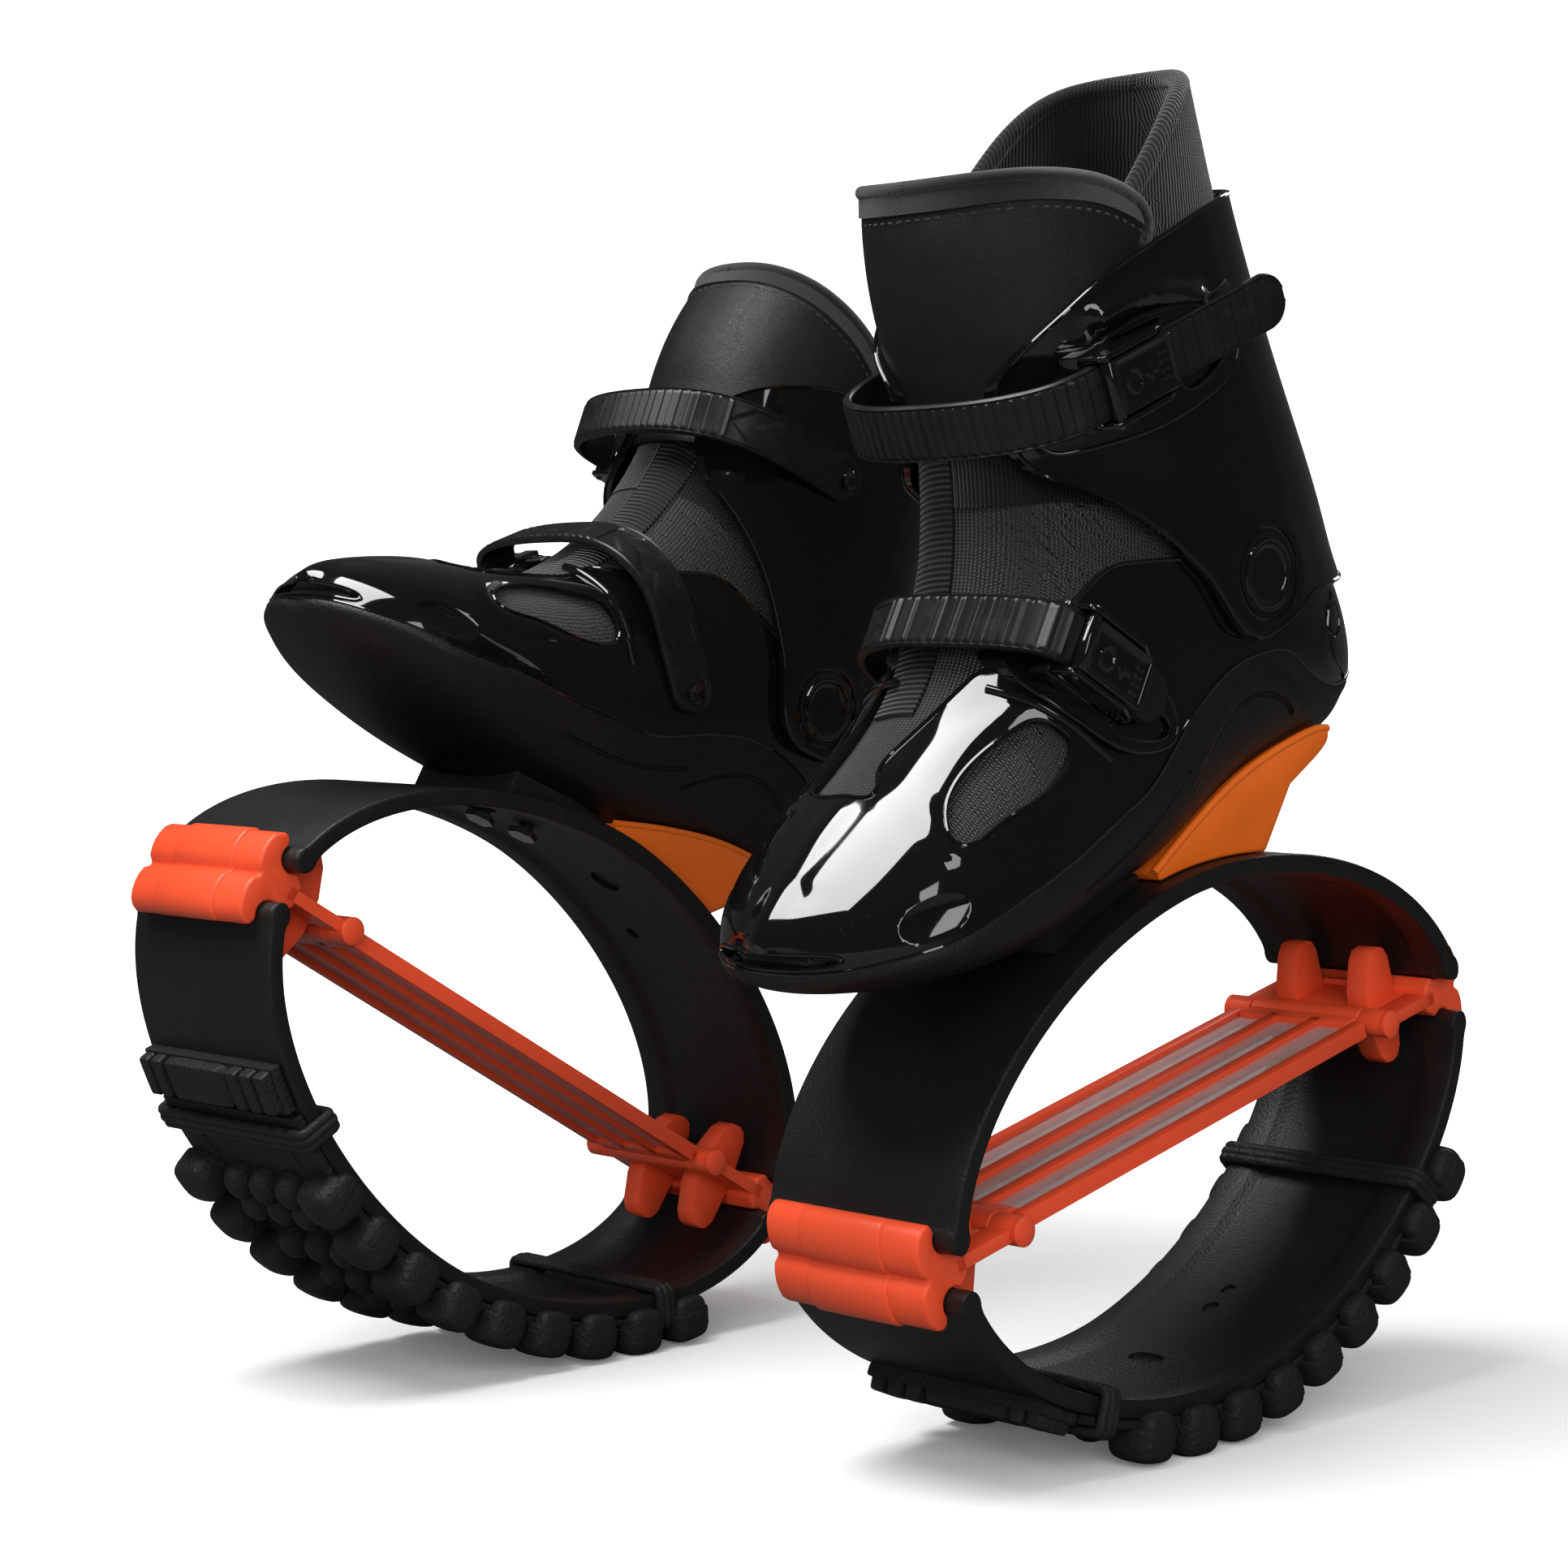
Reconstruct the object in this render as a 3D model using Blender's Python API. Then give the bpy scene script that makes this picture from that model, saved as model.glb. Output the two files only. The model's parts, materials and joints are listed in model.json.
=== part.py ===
"""Pair of rebound boots, each on a ring of two sprung bows.

Every length is in metres. A shoe is made once, in its own axes: out (x, to the
outer side of the foot), fwd (y, to the toe) and up (z), from the ring's centre.
It is then placed twice, as the left and the right shoe, toes along -Y, each
rolled along its tread to the stud row that stands on the floor.
"""
import math

import bmesh
import bpy
from mathutils import Matrix, Vector
from mathutils.bvhtree import BVHTree

# Stance of the pair, as photographed
STANCE_HALF_WIDTH = 0.1294
STANCE_HALF_STEP = 0.0492
STANDING_ROW = {"left": 2, "right": -4}

# Clearances
GAP = 0.0003
RUN = 0.0005
OVERRUN = 0.004

# Ring of two bows
RING_HALF_LENGTH = 0.142
RING_UP = 0.086
RING_DOWN = 0.092
RING_POWER = 1.83
BOW_STEPS = 360
BOW_WIDTH = 0.088
BOW_THICKNESS = 0.007
BOW_FACETS = 22
BOW_END_GAP = 0.006
CHANNEL_WIDTH = 0.056
CHANNEL_DEPTH = 0.0025
CHANNEL_SLOPE = 0.003
BEAD_RADIUS = 0.0048
bead_shares = (0.12, 0.5, 1.0, 1.5, 1.75)

# Clips, pins and tension spring
CLIP_WIDTH = 0.072
CLIP_DEPTH = 0.014
CLIP_HALF_HEIGHT = 0.020
CLIP_WEB_DEPTH = 0.0087
CLIP_WEB_HEIGHT = 0.009
CLIP_NOTCH_CLEARANCE = 0.0006
clip_lobe_shares = ((0.79, 0.0), (0.96, 0.17), (1.0, 0.45), (0.9, 0.72), (0.64, 0.92), (0.36, 0.93))
NOTCH_OPEN_DEGREES = 40
NOTCH_CLOSE_DEGREES = -145
NOTCH_STEPS = 4
PIN_INSET = 0.034
PIN_REACH = RING_HALF_LENGTH - PIN_INSET
PIN_RADIUS = 0.003
PIN_HEAD_RADIUS = 0.0053
PIN_HEAD_DEPTH = 0.0025
KNUCKLE_RADIUS = 0.0053
ARM_WIDTH = 0.0098
ARM_THICKNESS = 0.0048
TAB_WIDTH = 0.010
TAB_SPREAD = 0.017
TAB_LENGTH = 0.019
TAB_HEIGHT = 0.0235
tab_shares = ((1.0, 0.0), (0.92, 0.78), (0.62, 1.0), (0.3, 0.92), (0.03, 0.34), (0.0, 0.0))
SPRING_WIDTH = 0.064
SPRING_WEB = 0.0016
SPRING_RIB_WIDTH = 0.0052
SPRING_RIB_HEIGHT = 0.0064
SPRING_RIBS = 4
SPRING_SHOULDER = 0.0075

# Tread
TREAD_BASE = 0.0034
TREAD_HEIGHT = 0.0147
TREAD_BACK = 8
TREAD_FRONT = 7
STUD_PITCH = 0.02305
STUD_ROW_SHIFT = -0.0033
STUD_FIRST_ROW = -5
STUD_LAST_ROW = 3
STUD_LENGTH = 0.0165
STUD_OVERHANG = 0.0062
STUD_INNER = 0.030
STUD_SIDE_DROP = 0.0055
STUD_SEAT = 0.0012
STUD_TAPER_share = 0.84
OVAL_LENGTH = 0.0145
OVAL_WIDTH = 0.0105
OVAL_HEIGHT = 0.0095
OVAL_SPREAD = 0.0165
OVAL_TOP_share = 0.72
OVAL_SIDES = 5
LOOP_LENGTH = 0.0085
LOOP_WALL = 0.0042
BLOCK_LENGTH = 0.017
BLOCK_HEIGHT = 0.0085
BLOCK_WIDTH = 0.082
GROOVE_WIDTH = 0.0022
GROOVE_DEPTH = 0.003
groove_shares = (-0.82, -0.62, 0.36, 0.58, 0.80)

# Boot form, as slanted rings from the toe, round the heel and up the leg
BOOT_LENGTH = 0.330
BOOT_HEIGHT = 0.270
BOOT_HALF_WIDTH = 0.054
ring_centre_share = 7 / 15
FORM_SIDES = 12
CAVITY_SIDES = 8
PIN_SIDES = 8
HEAD_SIDES = 10
DISC_SIDES = 14
# Sole or heel end (length, height), top end (length, height), half width, widest place, power, floor
form_shares = (
    (0.975, 0.056, 0.980, 0.096, 0.10, 0.42, 2.0, 0.5),
    (0.974, 0.038, 0.969, 0.117, 0.33, 0.38, 2.2, 0.5),
    (0.954, 0.023, 0.944, 0.142, 0.58, 0.36, 2.2, 0.8),
    (0.912, 0.009, 0.901, 0.177, 0.815, 0.32, 2.2, 1.0),
    (0.858, -0.004, 0.850, 0.213, 0.96, 0.28, 2.2, 1.0),
    (0.794, -0.013, 0.791, 0.243, 1.01, 0.28, 2.2, 1.0),
    (0.724, -0.018, 0.737, 0.277, 1.02, 0.30, 2.3, 1.0),
    (0.642, -0.014, 0.692, 0.313, 0.985, 0.33, 2.4, 1.0),
    (0.561, -0.003, 0.661, 0.356, 0.94, 0.35, 2.5, 1.0),
    (0.467, 0.007, 0.637, 0.401, 0.90, 0.38, 2.6, 1.0),
    (0.373, 0.042, 0.618, 0.449, 0.87, 0.42, 2.6, 1.3),
    (0.282, 0.065, 0.604, 0.502, 0.845, 0.45, 2.6, 2.0),
    (0.182, 0.066, 0.597, 0.550, 0.835, 0.47, 2.6, 2.6),
    (0.091, 0.068, 0.592, 0.597, 0.835, 0.50, 2.6, 2.6),
    (0.048, 0.127, 0.591, 0.642, 0.84, 0.50, 2.6, 0.6),
    (0.054, 0.216, 0.592, 0.679, 0.845, 0.50, 2.6, 0.0),
    (0.082, 0.305, 0.595, 0.716, 0.85, 0.50, 2.6, 0.0),
    (0.090, 0.396, 0.603, 0.750, 0.855, 0.50, 2.6, 0.0),
    (0.141, 0.594, 0.606, 0.824, 0.865, 0.50, 2.6, 0.0),
    (0.179, 0.801, 0.597, 0.898, 0.86, 0.50, 2.6, 0.0),
    (0.187, 0.894, 0.587, 0.935, 0.845, 0.50, 2.6, 0.0),
    (0.194, 1.015, 0.578, 1.015, 0.82, 0.50, 2.6, 0.0),
)
nose_shares = (1.0, 0.95, 0.8, 0.5, 0.25)
LINER_FIRST_RING = 1
CAVITY_FIRST_RING = 2
CUFF_FIRST_RING = 10

# Walls and layers of the boot
SHELL_WALL = 0.003
SOLE_FLOOR = 0.008
LINER_WALL = 0.005
FOOTBED_THICKNESS = 0.005
CUFF_CLEARANCE = 0.0015
CUFF_WALL = 0.003
TONGUE_THICKNESS = 0.0032
COLLAR_WALL = 0.0062
SPLIT_GAP = 0.0008

# Side view outlines of the boot, as (length, height) shares
boundary_shares = (
    (1.020, 0.060), (0.958, 0.058), (0.912, 0.063), (0.851, 0.066), (0.772, 0.085), (0.692, 0.099),
    (0.623, 0.116), (0.581, 0.128), (0.527, 0.139), (0.444, 0.203), (0.401, 0.227), (0.356, 0.245),
    (0.316, 0.249), (0.251, 0.241), (0.215, 0.194), (0.150, 0.150), (0.090, 0.146), (0.027, 0.164),
    (-0.030, 0.172),
)
shell_top_shares = (
    (-0.030, 0.276), (0.090, 0.280), (0.127, 0.292), (0.168, 0.313), (0.189, 0.352), (0.197, 0.395),
    (0.256, 0.425), (0.303, 0.400), (0.339, 0.389), (0.421, 0.411), (0.477, 0.424), (0.518, 0.430),
    (0.580, 0.373), (0.637, 0.323), (0.691, 0.275), (0.743, 0.246), (0.796, 0.220), (0.819, 0.215),
    (0.841, 0.222), (1.020, 0.200),
)
window_shares = (
    (0.800, 0.203), (0.812, 0.180), (0.806, 0.162), (0.770, 0.168), (0.691, 0.193), (0.648, 0.215),
    (0.631, 0.231), (0.642, 0.252), (0.661, 0.280), (0.687, 0.271), (0.728, 0.248), (0.766, 0.228),
)
cuff_shares = (
    (0.310, 0.271), (0.337, 0.283), (0.356, 0.312), (0.378, 0.368), (0.411, 0.411), (0.454, 0.466),
    (0.499, 0.507), (0.527, 0.530), (0.569, 0.561), (0.583, 0.603), (0.588, 0.678), (0.578, 0.707),
    (0.556, 0.738), (0.478, 0.794), (0.389, 0.820), (0.282, 0.847), (0.160, 0.845), (-0.050, 0.842),
    (-0.050, 0.305), (0.107, 0.296), (0.208, 0.310), (0.247, 0.283),
)
collar_bottom_shares = (
    (0.720, 0.545), (0.560, 0.526), (0.512, 0.510), (0.474, 0.490), (0.421, 0.462), (0.364, 0.437),
    (0.310, 0.415), (0.286, 0.437), (0.256, 0.445), (0.214, 0.431), (0.172, 0.395), (0.147, 0.352),
    (0.125, 0.325), (-0.050, 0.325),
)
collar_top_shares = (
    (-0.050, 1.006), (0.200, 1.003), (0.240, 0.997), (0.290, 0.966), (0.345, 0.918), (0.403, 0.865),
    (0.473, 0.798), (0.546, 0.735), (0.720, 0.705),
)
tongue_shares = (
    (0.720, 0.609), (0.559, 0.612), (0.509, 0.694), (0.439, 0.770), (0.387, 0.832), (0.393, 0.866),
    (0.449, 0.905), (0.497, 0.923), (0.565, 0.939), (0.720, 0.939),
)

# Wedge and saddle between the sole and the upper bow
WEDGE_WIDTH = 0.072
wedge_top_shares = ((0.497, 0.013), (0.427, 0.050), (0.336, 0.087), (0.258, 0.101), (0.182, 0.105), (0.167, 0.098))
wedge_tail_shares = ((0.170, 0.076), (0.248, 0.046))
WEDGE_FOOT_BACK = 0.052
WEDGE_FOOT_FRONT = 0.008
WEDGE_FOOT_STEPS = 4
SADDLE_WIDTH = 0.060
SADDLE_FRONT = 0.062
SADDLE_BACK = 0.013
SADDLE_STEPS = 4

# Mounting bolts
BOLT_PLACES = {"front": 0.047, "rear": 0.024}
BOLT_RADIUS = 0.003
BOLT_HEAD_RADIUS = 0.0062
BOLT_HEAD_DEPTH = 0.0026
BOLT_BITE = 0.011

# Cuff pivots
PIVOT_FWD_share = 0.288
PIVOT_UP_share = 0.351
PIVOT_HEAD_RADIUS = 0.0125
PIVOT_HEAD_DEPTH = 0.0022
PIVOT_SINK = 0.0010
PIVOT_RADIUS = 0.005

# Straps
STRAP_WIDTH = 0.020
STRAP_THICKNESS = 0.0025
STRAP_POWER = 2.6
STRAP_STEPS = 6
SCREW_RADIUS = 0.002
SCREW_HEAD_RADIUS = 0.0042
SCREW_HEAD_DEPTH = 0.0018
SCREW_SETBACK = 0.008

# Buckles
PAD_PROUD = 0.0006
PAD_ROOT = 0.010
BUCKLE_LENGTH = 0.040
BUCKLE_FLOOR = 0.0024
BUCKLE_CHEEK = 0.0022
BUCKLE_HEIGHT = 0.0112
LEVER_LENGTH = 0.034
LEVER_PLATE = 0.0030
LEVER_BARREL_RADIUS = 0.0026
LEVER_RELIEF = 0.0006
BUCKLE_PIN_RADIUS = 0.0012
BUCKLE_PIN_SETBACK = 0.0042
BUCKLE_PIN_HEAD = 0.0006

# Each strap: its apex on the centre line, its slope, its reach to either side, its pad
STRAPS = {
    "lower": {
        "apex_shares": (0.658, 0.402),
        "slope_degrees": 41.0,
        "outer_turn": 0.0115,
        "inner_turn": 0.040,
        "buckle_start": 0.012,
        "outer_end": 0.066,
        "inner_end": 0.077,
        "pad_length": 0.064,
        "pad_width": 0.027,
    },
    "upper": {
        "apex_shares": (0.637, 0.637),
        "slope_degrees": -8.0,
        "outer_turn": 0.030,
        "inner_turn": 0.050,
        "buckle_start": 0.032,
        "outer_end": 0.140,
        "inner_end": 0.083,
        "pad_length": 0.046,
        "pad_width": 0.027,
    },
}

# Colour, roughness, metallic
FINISHES = {
    "gloss_black": ((0.012, 0.012, 0.013), 0.08, 0.0),
    "matte_black": ((0.020, 0.020, 0.021), 0.55, 0.0),
    "rubber_black": ((0.016, 0.016, 0.017), 0.75, 0.0),
    "fabric_black": ((0.022, 0.022, 0.024), 0.95, 0.0),
    "leather_black": ((0.018, 0.018, 0.019), 0.45, 0.0),
    "spring_orange": ((0.84, 0.105, 0.03), 0.35, 0.0),
    "wedge_orange": ((0.86, 0.16, 0.015), 0.40, 0.0),
    "steel": ((0.55, 0.55, 0.56), 0.30, 1.0),
}


# Places in the boot
def fwd(share):
    """Place along the boot of a share of its length, 0 at the heel and 1 at the toe."""
    return (share - ring_centre_share) * BOOT_LENGTH


def up(share):
    """Height of a share of the boot's height, 0 on the upper bow's crown."""
    return RING_UP + BOW_THICKNESS + GAP + share * BOOT_HEIGHT


def side_outline(shares, lift=0.0):
    """Points (fwd, up) of a side view outline given in shares."""
    return [(fwd(length), up(height) + lift) for length, height in shares]


# Mesh helpers
def finished(bm, name):
    """Turn a bmesh into a mesh with its faces facing out."""
    bmesh.ops.recalc_face_normals(bm, faces=bm.faces)
    mesh = bpy.data.meshes.new(name)
    bm.to_mesh(mesh)
    bm.free()
    return mesh


def frame(origin, first, second, third):
    """Matrix that takes its own axes to the three given directions."""
    matrix = Matrix((first, second, third)).transposed().to_4x4()
    matrix.translation = origin
    return matrix


SIDE_VIEW = Matrix.Identity(4)
END_VIEW = frame((0, 0, 0), (0, 1, 0), (1, 0, 0), (0, 0, 1))


def extrude(outline, low, high, view=SIDE_VIEW):
    """Closed solid from an outline in a view's second and third axes, along its first."""
    bm = bmesh.new()
    near = [bm.verts.new(view @ Vector((low, a, b))) for a, b in outline]
    far = [bm.verts.new(view @ Vector((high, a, b))) for a, b in outline]
    count = len(outline)
    for i in range(count):
        j = (i + 1) % count
        bm.faces.new((near[i], near[j], far[j], far[i]))
    bm.faces.new(near)
    bm.faces.new(far)
    return finished(bm, "extrusion")


def loft(rings, split=False):
    """Closed solid through rings of points with equal counts, capped at both ends.

    Split side faces have the same diagonals in every solid, so that nested solids keep their gap.
    """
    bm = bmesh.new()
    verts = [[bm.verts.new(point) for point in ring] for ring in rings]
    count = len(rings[0])
    for lower, upper in zip(verts, verts[1:]):
        for i in range(count):
            j = (i + 1) % count
            near, far = (i, j) if i < count // 2 else (j, i)
            if split:
                bm.faces.new((lower[near], lower[far], upper[far]))
                bm.faces.new((lower[near], upper[far], upper[near]))
            else:
                bm.faces.new((lower[near], lower[far], upper[far], upper[near]))
    bm.faces.new(verts[0])
    bm.faces.new(verts[-1])
    return finished(bm, "loft")


def circle(radius, sides, centre=(0.0, 0.0)):
    """Points of a round outline."""
    turn = 2 * math.pi / sides
    return [
        (centre[0] + radius * math.cos(i * turn), centre[1] + radius * math.sin(i * turn))
        for i in range(sides)
    ]


def boolean(mesh, cutter, operation):
    """Mesh that results from an exact Boolean of two meshes."""
    body = bpy.data.objects.new("boolean_body", mesh)
    tool = bpy.data.objects.new("boolean_cutter", cutter)
    tool.hide_render = True
    tool.display_type = "WIRE"
    for item in (body, tool):
        bpy.context.scene.collection.objects.link(item)
    modifier = body.modifiers.new("Boolean", "BOOLEAN")
    modifier.operation = operation
    modifier.solver = "EXACT"
    modifier.object = tool
    graph = bpy.context.evaluated_depsgraph_get()
    result = bpy.data.meshes.new_from_object(body.evaluated_get(graph))
    for item in (body, tool):
        bpy.data.objects.remove(item)
    return result


def union(mesh, *others):
    """Mesh joined with others."""
    for other in others:
        mesh = boolean(mesh, other, "UNION")
    return mesh


def cut(mesh, *others):
    """Mesh with others taken away."""
    for other in others:
        mesh = boolean(mesh, other, "DIFFERENCE")
    return mesh


def within(mesh, other):
    """The part of a mesh that lies inside another."""
    return boolean(mesh, other, "INTERSECT")


# The ring's bows
class Bow:
    """Half of the ring, a superellipse measured along its inner face from its crown."""

    def __init__(self, height):
        self.height = height
        self.lengths = [0.0]
        self.angles = [math.pi * i / BOW_STEPS for i in range(BOW_STEPS + 1)]
        for before, after in zip(self.angles, self.angles[1:]):
            step = (self.place(after)[0] - self.place(before)[0]).length
            self.lengths.append(self.lengths[-1] + step)
        self.middle = self.lengths[-1] / 2
        share = (BOW_END_GAP / abs(height)) ** (RING_POWER / 2)
        self.half = self.middle - self.length_to(math.asin(share))

    def place(self, angle):
        """Point on the inner face and the way out of the ring, 0 at the front end."""
        reach = math.copysign(abs(math.cos(angle)) ** (2 / RING_POWER), math.cos(angle))
        rise = abs(math.sin(angle)) ** (2 / RING_POWER)
        point = Vector((0, RING_HALF_LENGTH * reach, self.height * rise))
        slope_fwd = math.copysign(abs(reach) ** (RING_POWER - 1), reach) / RING_HALF_LENGTH
        slope_up = rise ** (RING_POWER - 1) / self.height
        return point, Vector((0, slope_fwd, slope_up)).normalized()

    def length_to(self, angle):
        """Length along the bow from its front end to an angle."""
        index = min(int(angle / math.pi * BOW_STEPS), BOW_STEPS - 1)
        share = (angle - self.angles[index]) / (self.angles[index + 1] - self.angles[index])
        return self.lengths[index] + share * (self.lengths[index + 1] - self.lengths[index])

    def at(self, length, offset=0.0):
        """Point at a length forward of the crown and an offset outward, and the way out there."""
        target = self.middle - length
        index = 0
        while index < BOW_STEPS - 1 and self.lengths[index + 1] < target:
            index += 1
        span = self.lengths[index + 1] - self.lengths[index]
        share = (target - self.lengths[index]) / span
        angle = self.angles[index] + share * (self.angles[index + 1] - self.angles[index])
        point, outward = self.place(angle)
        return point + outward * offset, outward

    def at_fwd(self, place, offset=0.0):
        """Point of the bow's offset face at a place along the boot."""
        low = -self.half
        high = self.half
        for _ in range(BOW_STEPS // 8):
            middle = (low + high) / 2
            if self.at(middle, offset)[0].y < place:
                low = middle
            else:
                high = middle
        return self.at(low, offset)[0]

    def stations(self):
        """Lengths at which the bow's solid has a ring of points, between its two beads."""
        reach = self.half - bead_shares[-1] * BEAD_RADIUS
        return [reach * (2 * i / BOW_FACETS - 1) for i in range(BOW_FACETS + 1)]


def bow_section(bow, length, half_thickness):
    """Ring of points across a bow: a band with a channel in its inner face."""
    grow = half_thickness / (BOW_THICKNESS / 2)
    half = BOW_WIDTH / 2
    channel = CHANNEL_WIDTH / 2
    shoulder = channel + CHANNEL_SLOPE
    profile = (
        (-half, 0), (-shoulder, 0), (-channel, CHANNEL_DEPTH), (channel, CHANNEL_DEPTH),
        (shoulder, 0), (half, 0), (half, BOW_THICKNESS), (-half, BOW_THICKNESS),
    )
    centre = BOW_THICKNESS / 2
    ring = []
    for out, depth in profile:
        point = bow.at(length, centre + (depth - centre) * grow)[0]
        ring.append(Vector((out, point.y, point.z)))
    return ring


def make_bow(bow):
    """A bow with a round bead at each end."""
    ends = []
    for share in bead_shares:
        swell = math.sqrt(BEAD_RADIUS**2 - (BEAD_RADIUS * (1 - share)) ** 2)
        ends.append((bow.half - share * BEAD_RADIUS, max(swell, BOW_THICKNESS / 2) if share > 1 else swell))
    rings = [bow_section(bow, -length, half) for length, half in ends[:-1]]
    rings += [bow_section(bow, length, BOW_THICKNESS / 2) for length in bow.stations()]
    rings += [bow_section(bow, length, half) for length, half in reversed(ends[:-1])]
    return loft(rings)


# Clips, pins and spring
def clip_half(bow, facing):
    """Outline of a clip on one bow's side: its lobe, then its notch round the bead."""
    bead = bow.at(facing * (bow.half - BEAD_RADIUS), BOW_THICKNESS / 2)[0]
    sign = math.copysign(1, bow.height)
    points = [
        (bead.y + facing * CLIP_DEPTH * a, sign * CLIP_HALF_HEIGHT * b) for a, b in clip_lobe_shares
    ]
    radius = BEAD_RADIUS + CLIP_NOTCH_CLEARANCE
    for i in range(NOTCH_STEPS + 1):
        share = i / NOTCH_STEPS
        degrees = NOTCH_OPEN_DEGREES + share * (NOTCH_CLOSE_DEGREES - NOTCH_OPEN_DEGREES)
        angle = math.radians(degrees)
        points.append((bead.y + facing * radius * math.cos(angle), bead.z + sign * radius * math.sin(angle)))
    points.append((bead.y - facing * CLIP_WEB_DEPTH, sign * CLIP_WEB_HEIGHT / 2))
    return points, bead


def make_clip(upper, lower, facing):
    """A clip: lobes outside the ring, web through it, four tabs and two arms inside."""
    top, bead = clip_half(upper, facing)
    bottom = clip_half(lower, facing)[0]
    half = CLIP_WIDTH / 2
    body = extrude(top[1:] + bottom[:0:-1] + [top[0]], -half, half)
    web = bead.y - facing * CLIP_WEB_DEPTH
    inside = web + facing * BEAD_RADIUS
    pin = facing * PIN_REACH
    thick = ARM_THICKNESS / 2
    parts = []
    plate_end = web - facing * TAB_LENGTH
    plate = [(inside, -thick), (inside, thick), (plate_end, thick), (plate_end, -thick)]
    reach = half - ARM_WIDTH - GAP
    parts.append(extrude(plate, -reach, reach))
    for side in (-1, 1):
        low, high = sorted((side * half, side * (half - ARM_WIDTH)))
        parts.append(extrude([(inside, -thick), (inside, thick), (pin, thick), (pin, -thick)], low, high))
        parts.append(extrude(circle(KNUCKLE_RADIUS, HEAD_SIDES, (pin, 0)), low, high))
        for way in (-1, 1):
            tab = [(plate_end + facing * TAB_LENGTH * a, way * TAB_HEIGHT * b) for a, b in tab_shares]
            centre = side * TAB_SPREAD
            parts.append(extrude(tab, centre - TAB_WIDTH / 2, centre + TAB_WIDTH / 2))
    bore = extrude(circle(PIN_RADIUS + GAP, PIN_SIDES, (pin, 0)), -half - OVERRUN, half + OVERRUN)
    return cut(union(body, *parts), bore)


def make_pin(facing):
    """A clip pin with a head at each end."""
    place = (facing * PIN_REACH, 0)
    inner = CLIP_WIDTH / 2 + GAP
    shaft = extrude(circle(PIN_RADIUS, PIN_SIDES, place), -inner - GAP, inner + GAP)
    heads = [
        extrude(circle(PIN_HEAD_RADIUS, HEAD_SIDES, place), *sorted((side * inner, side * (inner + PIN_HEAD_DEPTH))))
        for side in (-1, 1)
    ]
    return union(shaft, *heads)


def make_spring():
    """The tension spring: a thin web with ribs, and a knuckle at each end."""
    rib = SPRING_RIB_HEIGHT / 2
    web = SPRING_WEB / 2
    step = (SPRING_WIDTH - SPRING_RIB_WIDTH) / (SPRING_RIBS - 1)
    upper = []
    for i in range(SPRING_RIBS):
        left = -SPRING_WIDTH / 2 + i * step
        right = left + SPRING_RIB_WIDTH
        if i:
            upper.append((left, web))
        upper += [(left, rib), (right, rib)]
        if i < SPRING_RIBS - 1:
            upper.append((right, web))
    section = upper + [(a, -b) for a, b in reversed(upper)]
    reach = PIN_REACH - SPRING_SHOULDER
    band = extrude(section, -reach, reach, END_VIEW)
    half = CLIP_WIDTH / 2 - ARM_WIDTH - RUN
    parts = []
    bores = []
    for facing in (-1, 1):
        pin = facing * PIN_REACH
        root = facing * (reach - OVERRUN)
        tongue = [(root, -rib), (root, rib), (pin, rib), (pin, -rib)]
        parts.append(extrude(tongue, -half, half))
        parts.append(extrude(circle(KNUCKLE_RADIUS, HEAD_SIDES, (pin, 0)), -half, half))
        bores.append(extrude(circle(PIN_RADIUS + GAP, PIN_SIDES, (pin, 0)), -half - OVERRUN, half + OVERRUN))
    return cut(union(band, *parts), *bores)


# Tread
def bow_frame(bow, length, offset):
    """View whose axes are the bow's width, its length forward and its way out."""
    point, outward = bow.at(length, offset)
    along = Vector((0, -outward.z, outward.y)) * math.copysign(1, bow.height)
    return frame(point, (1, 0, 0), along * -1, outward)


def facet_frame(bow, index, offset):
    """View seated on the middle of one facet of the bow's solid."""
    stations = bow.stations()
    start = bow.at(stations[index], offset)[0]
    end = bow.at(stations[index + 1], offset)[0]
    along = (end - start).normalized()
    outward = Vector((0, along.z, -along.y))
    return frame((start + end) / 2, (1, 0, 0), along, outward)


def swept_stud(view, profile):
    """Side stud: a profile across the tread, swept along it and drawn in at its crown."""
    rings = []
    for way in (-1, 1):
        ring = []
        for a, b in profile:
            crown = STUD_TAPER_share if b == 0 else 1.0
            ring.append(view @ Vector((a, way * STUD_LENGTH / 2 * crown, b)))
        rings.append(ring)
    return loft(rings)


def stud_profile(side):
    """Outline of a side stud across the tread, from its seat to its flat crown."""
    edge = BOW_WIDTH / 2
    seat = -TREAD_HEIGHT + TREAD_BASE - STUD_SEAT
    drop = seat - STUD_SIDE_DROP
    face = edge + STUD_OVERHANG
    points = (
        (STUD_INNER, seat), (edge + RUN, seat), (edge + RUN, drop), (face, drop + STUD_SEAT),
        (face, seat / 3), (edge + STUD_SEAT, 0.0), (STUD_INNER + STUD_SEAT, 0.0),
    )
    return [(side * a, b) for a, b in points]


def oval_stud(view, out, fwd_shift):
    """Middle stud: a low oval with a smaller crown."""
    seat = -TREAD_HEIGHT + TREAD_BASE - STUD_SEAT
    crown = -TREAD_HEIGHT + TREAD_BASE + OVAL_HEIGHT
    rings = []
    for height, size in ((seat, 1.0), (crown, OVAL_TOP_share)):
        ring = []
        for a, b in circle(0.5, OVAL_SIDES):
            place = Vector((out + b * OVAL_WIDTH * size, fwd_shift + a * OVAL_LENGTH * size, height))
            ring.append(view @ place)
        rings.append(ring)
    return loft(rings)


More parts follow.
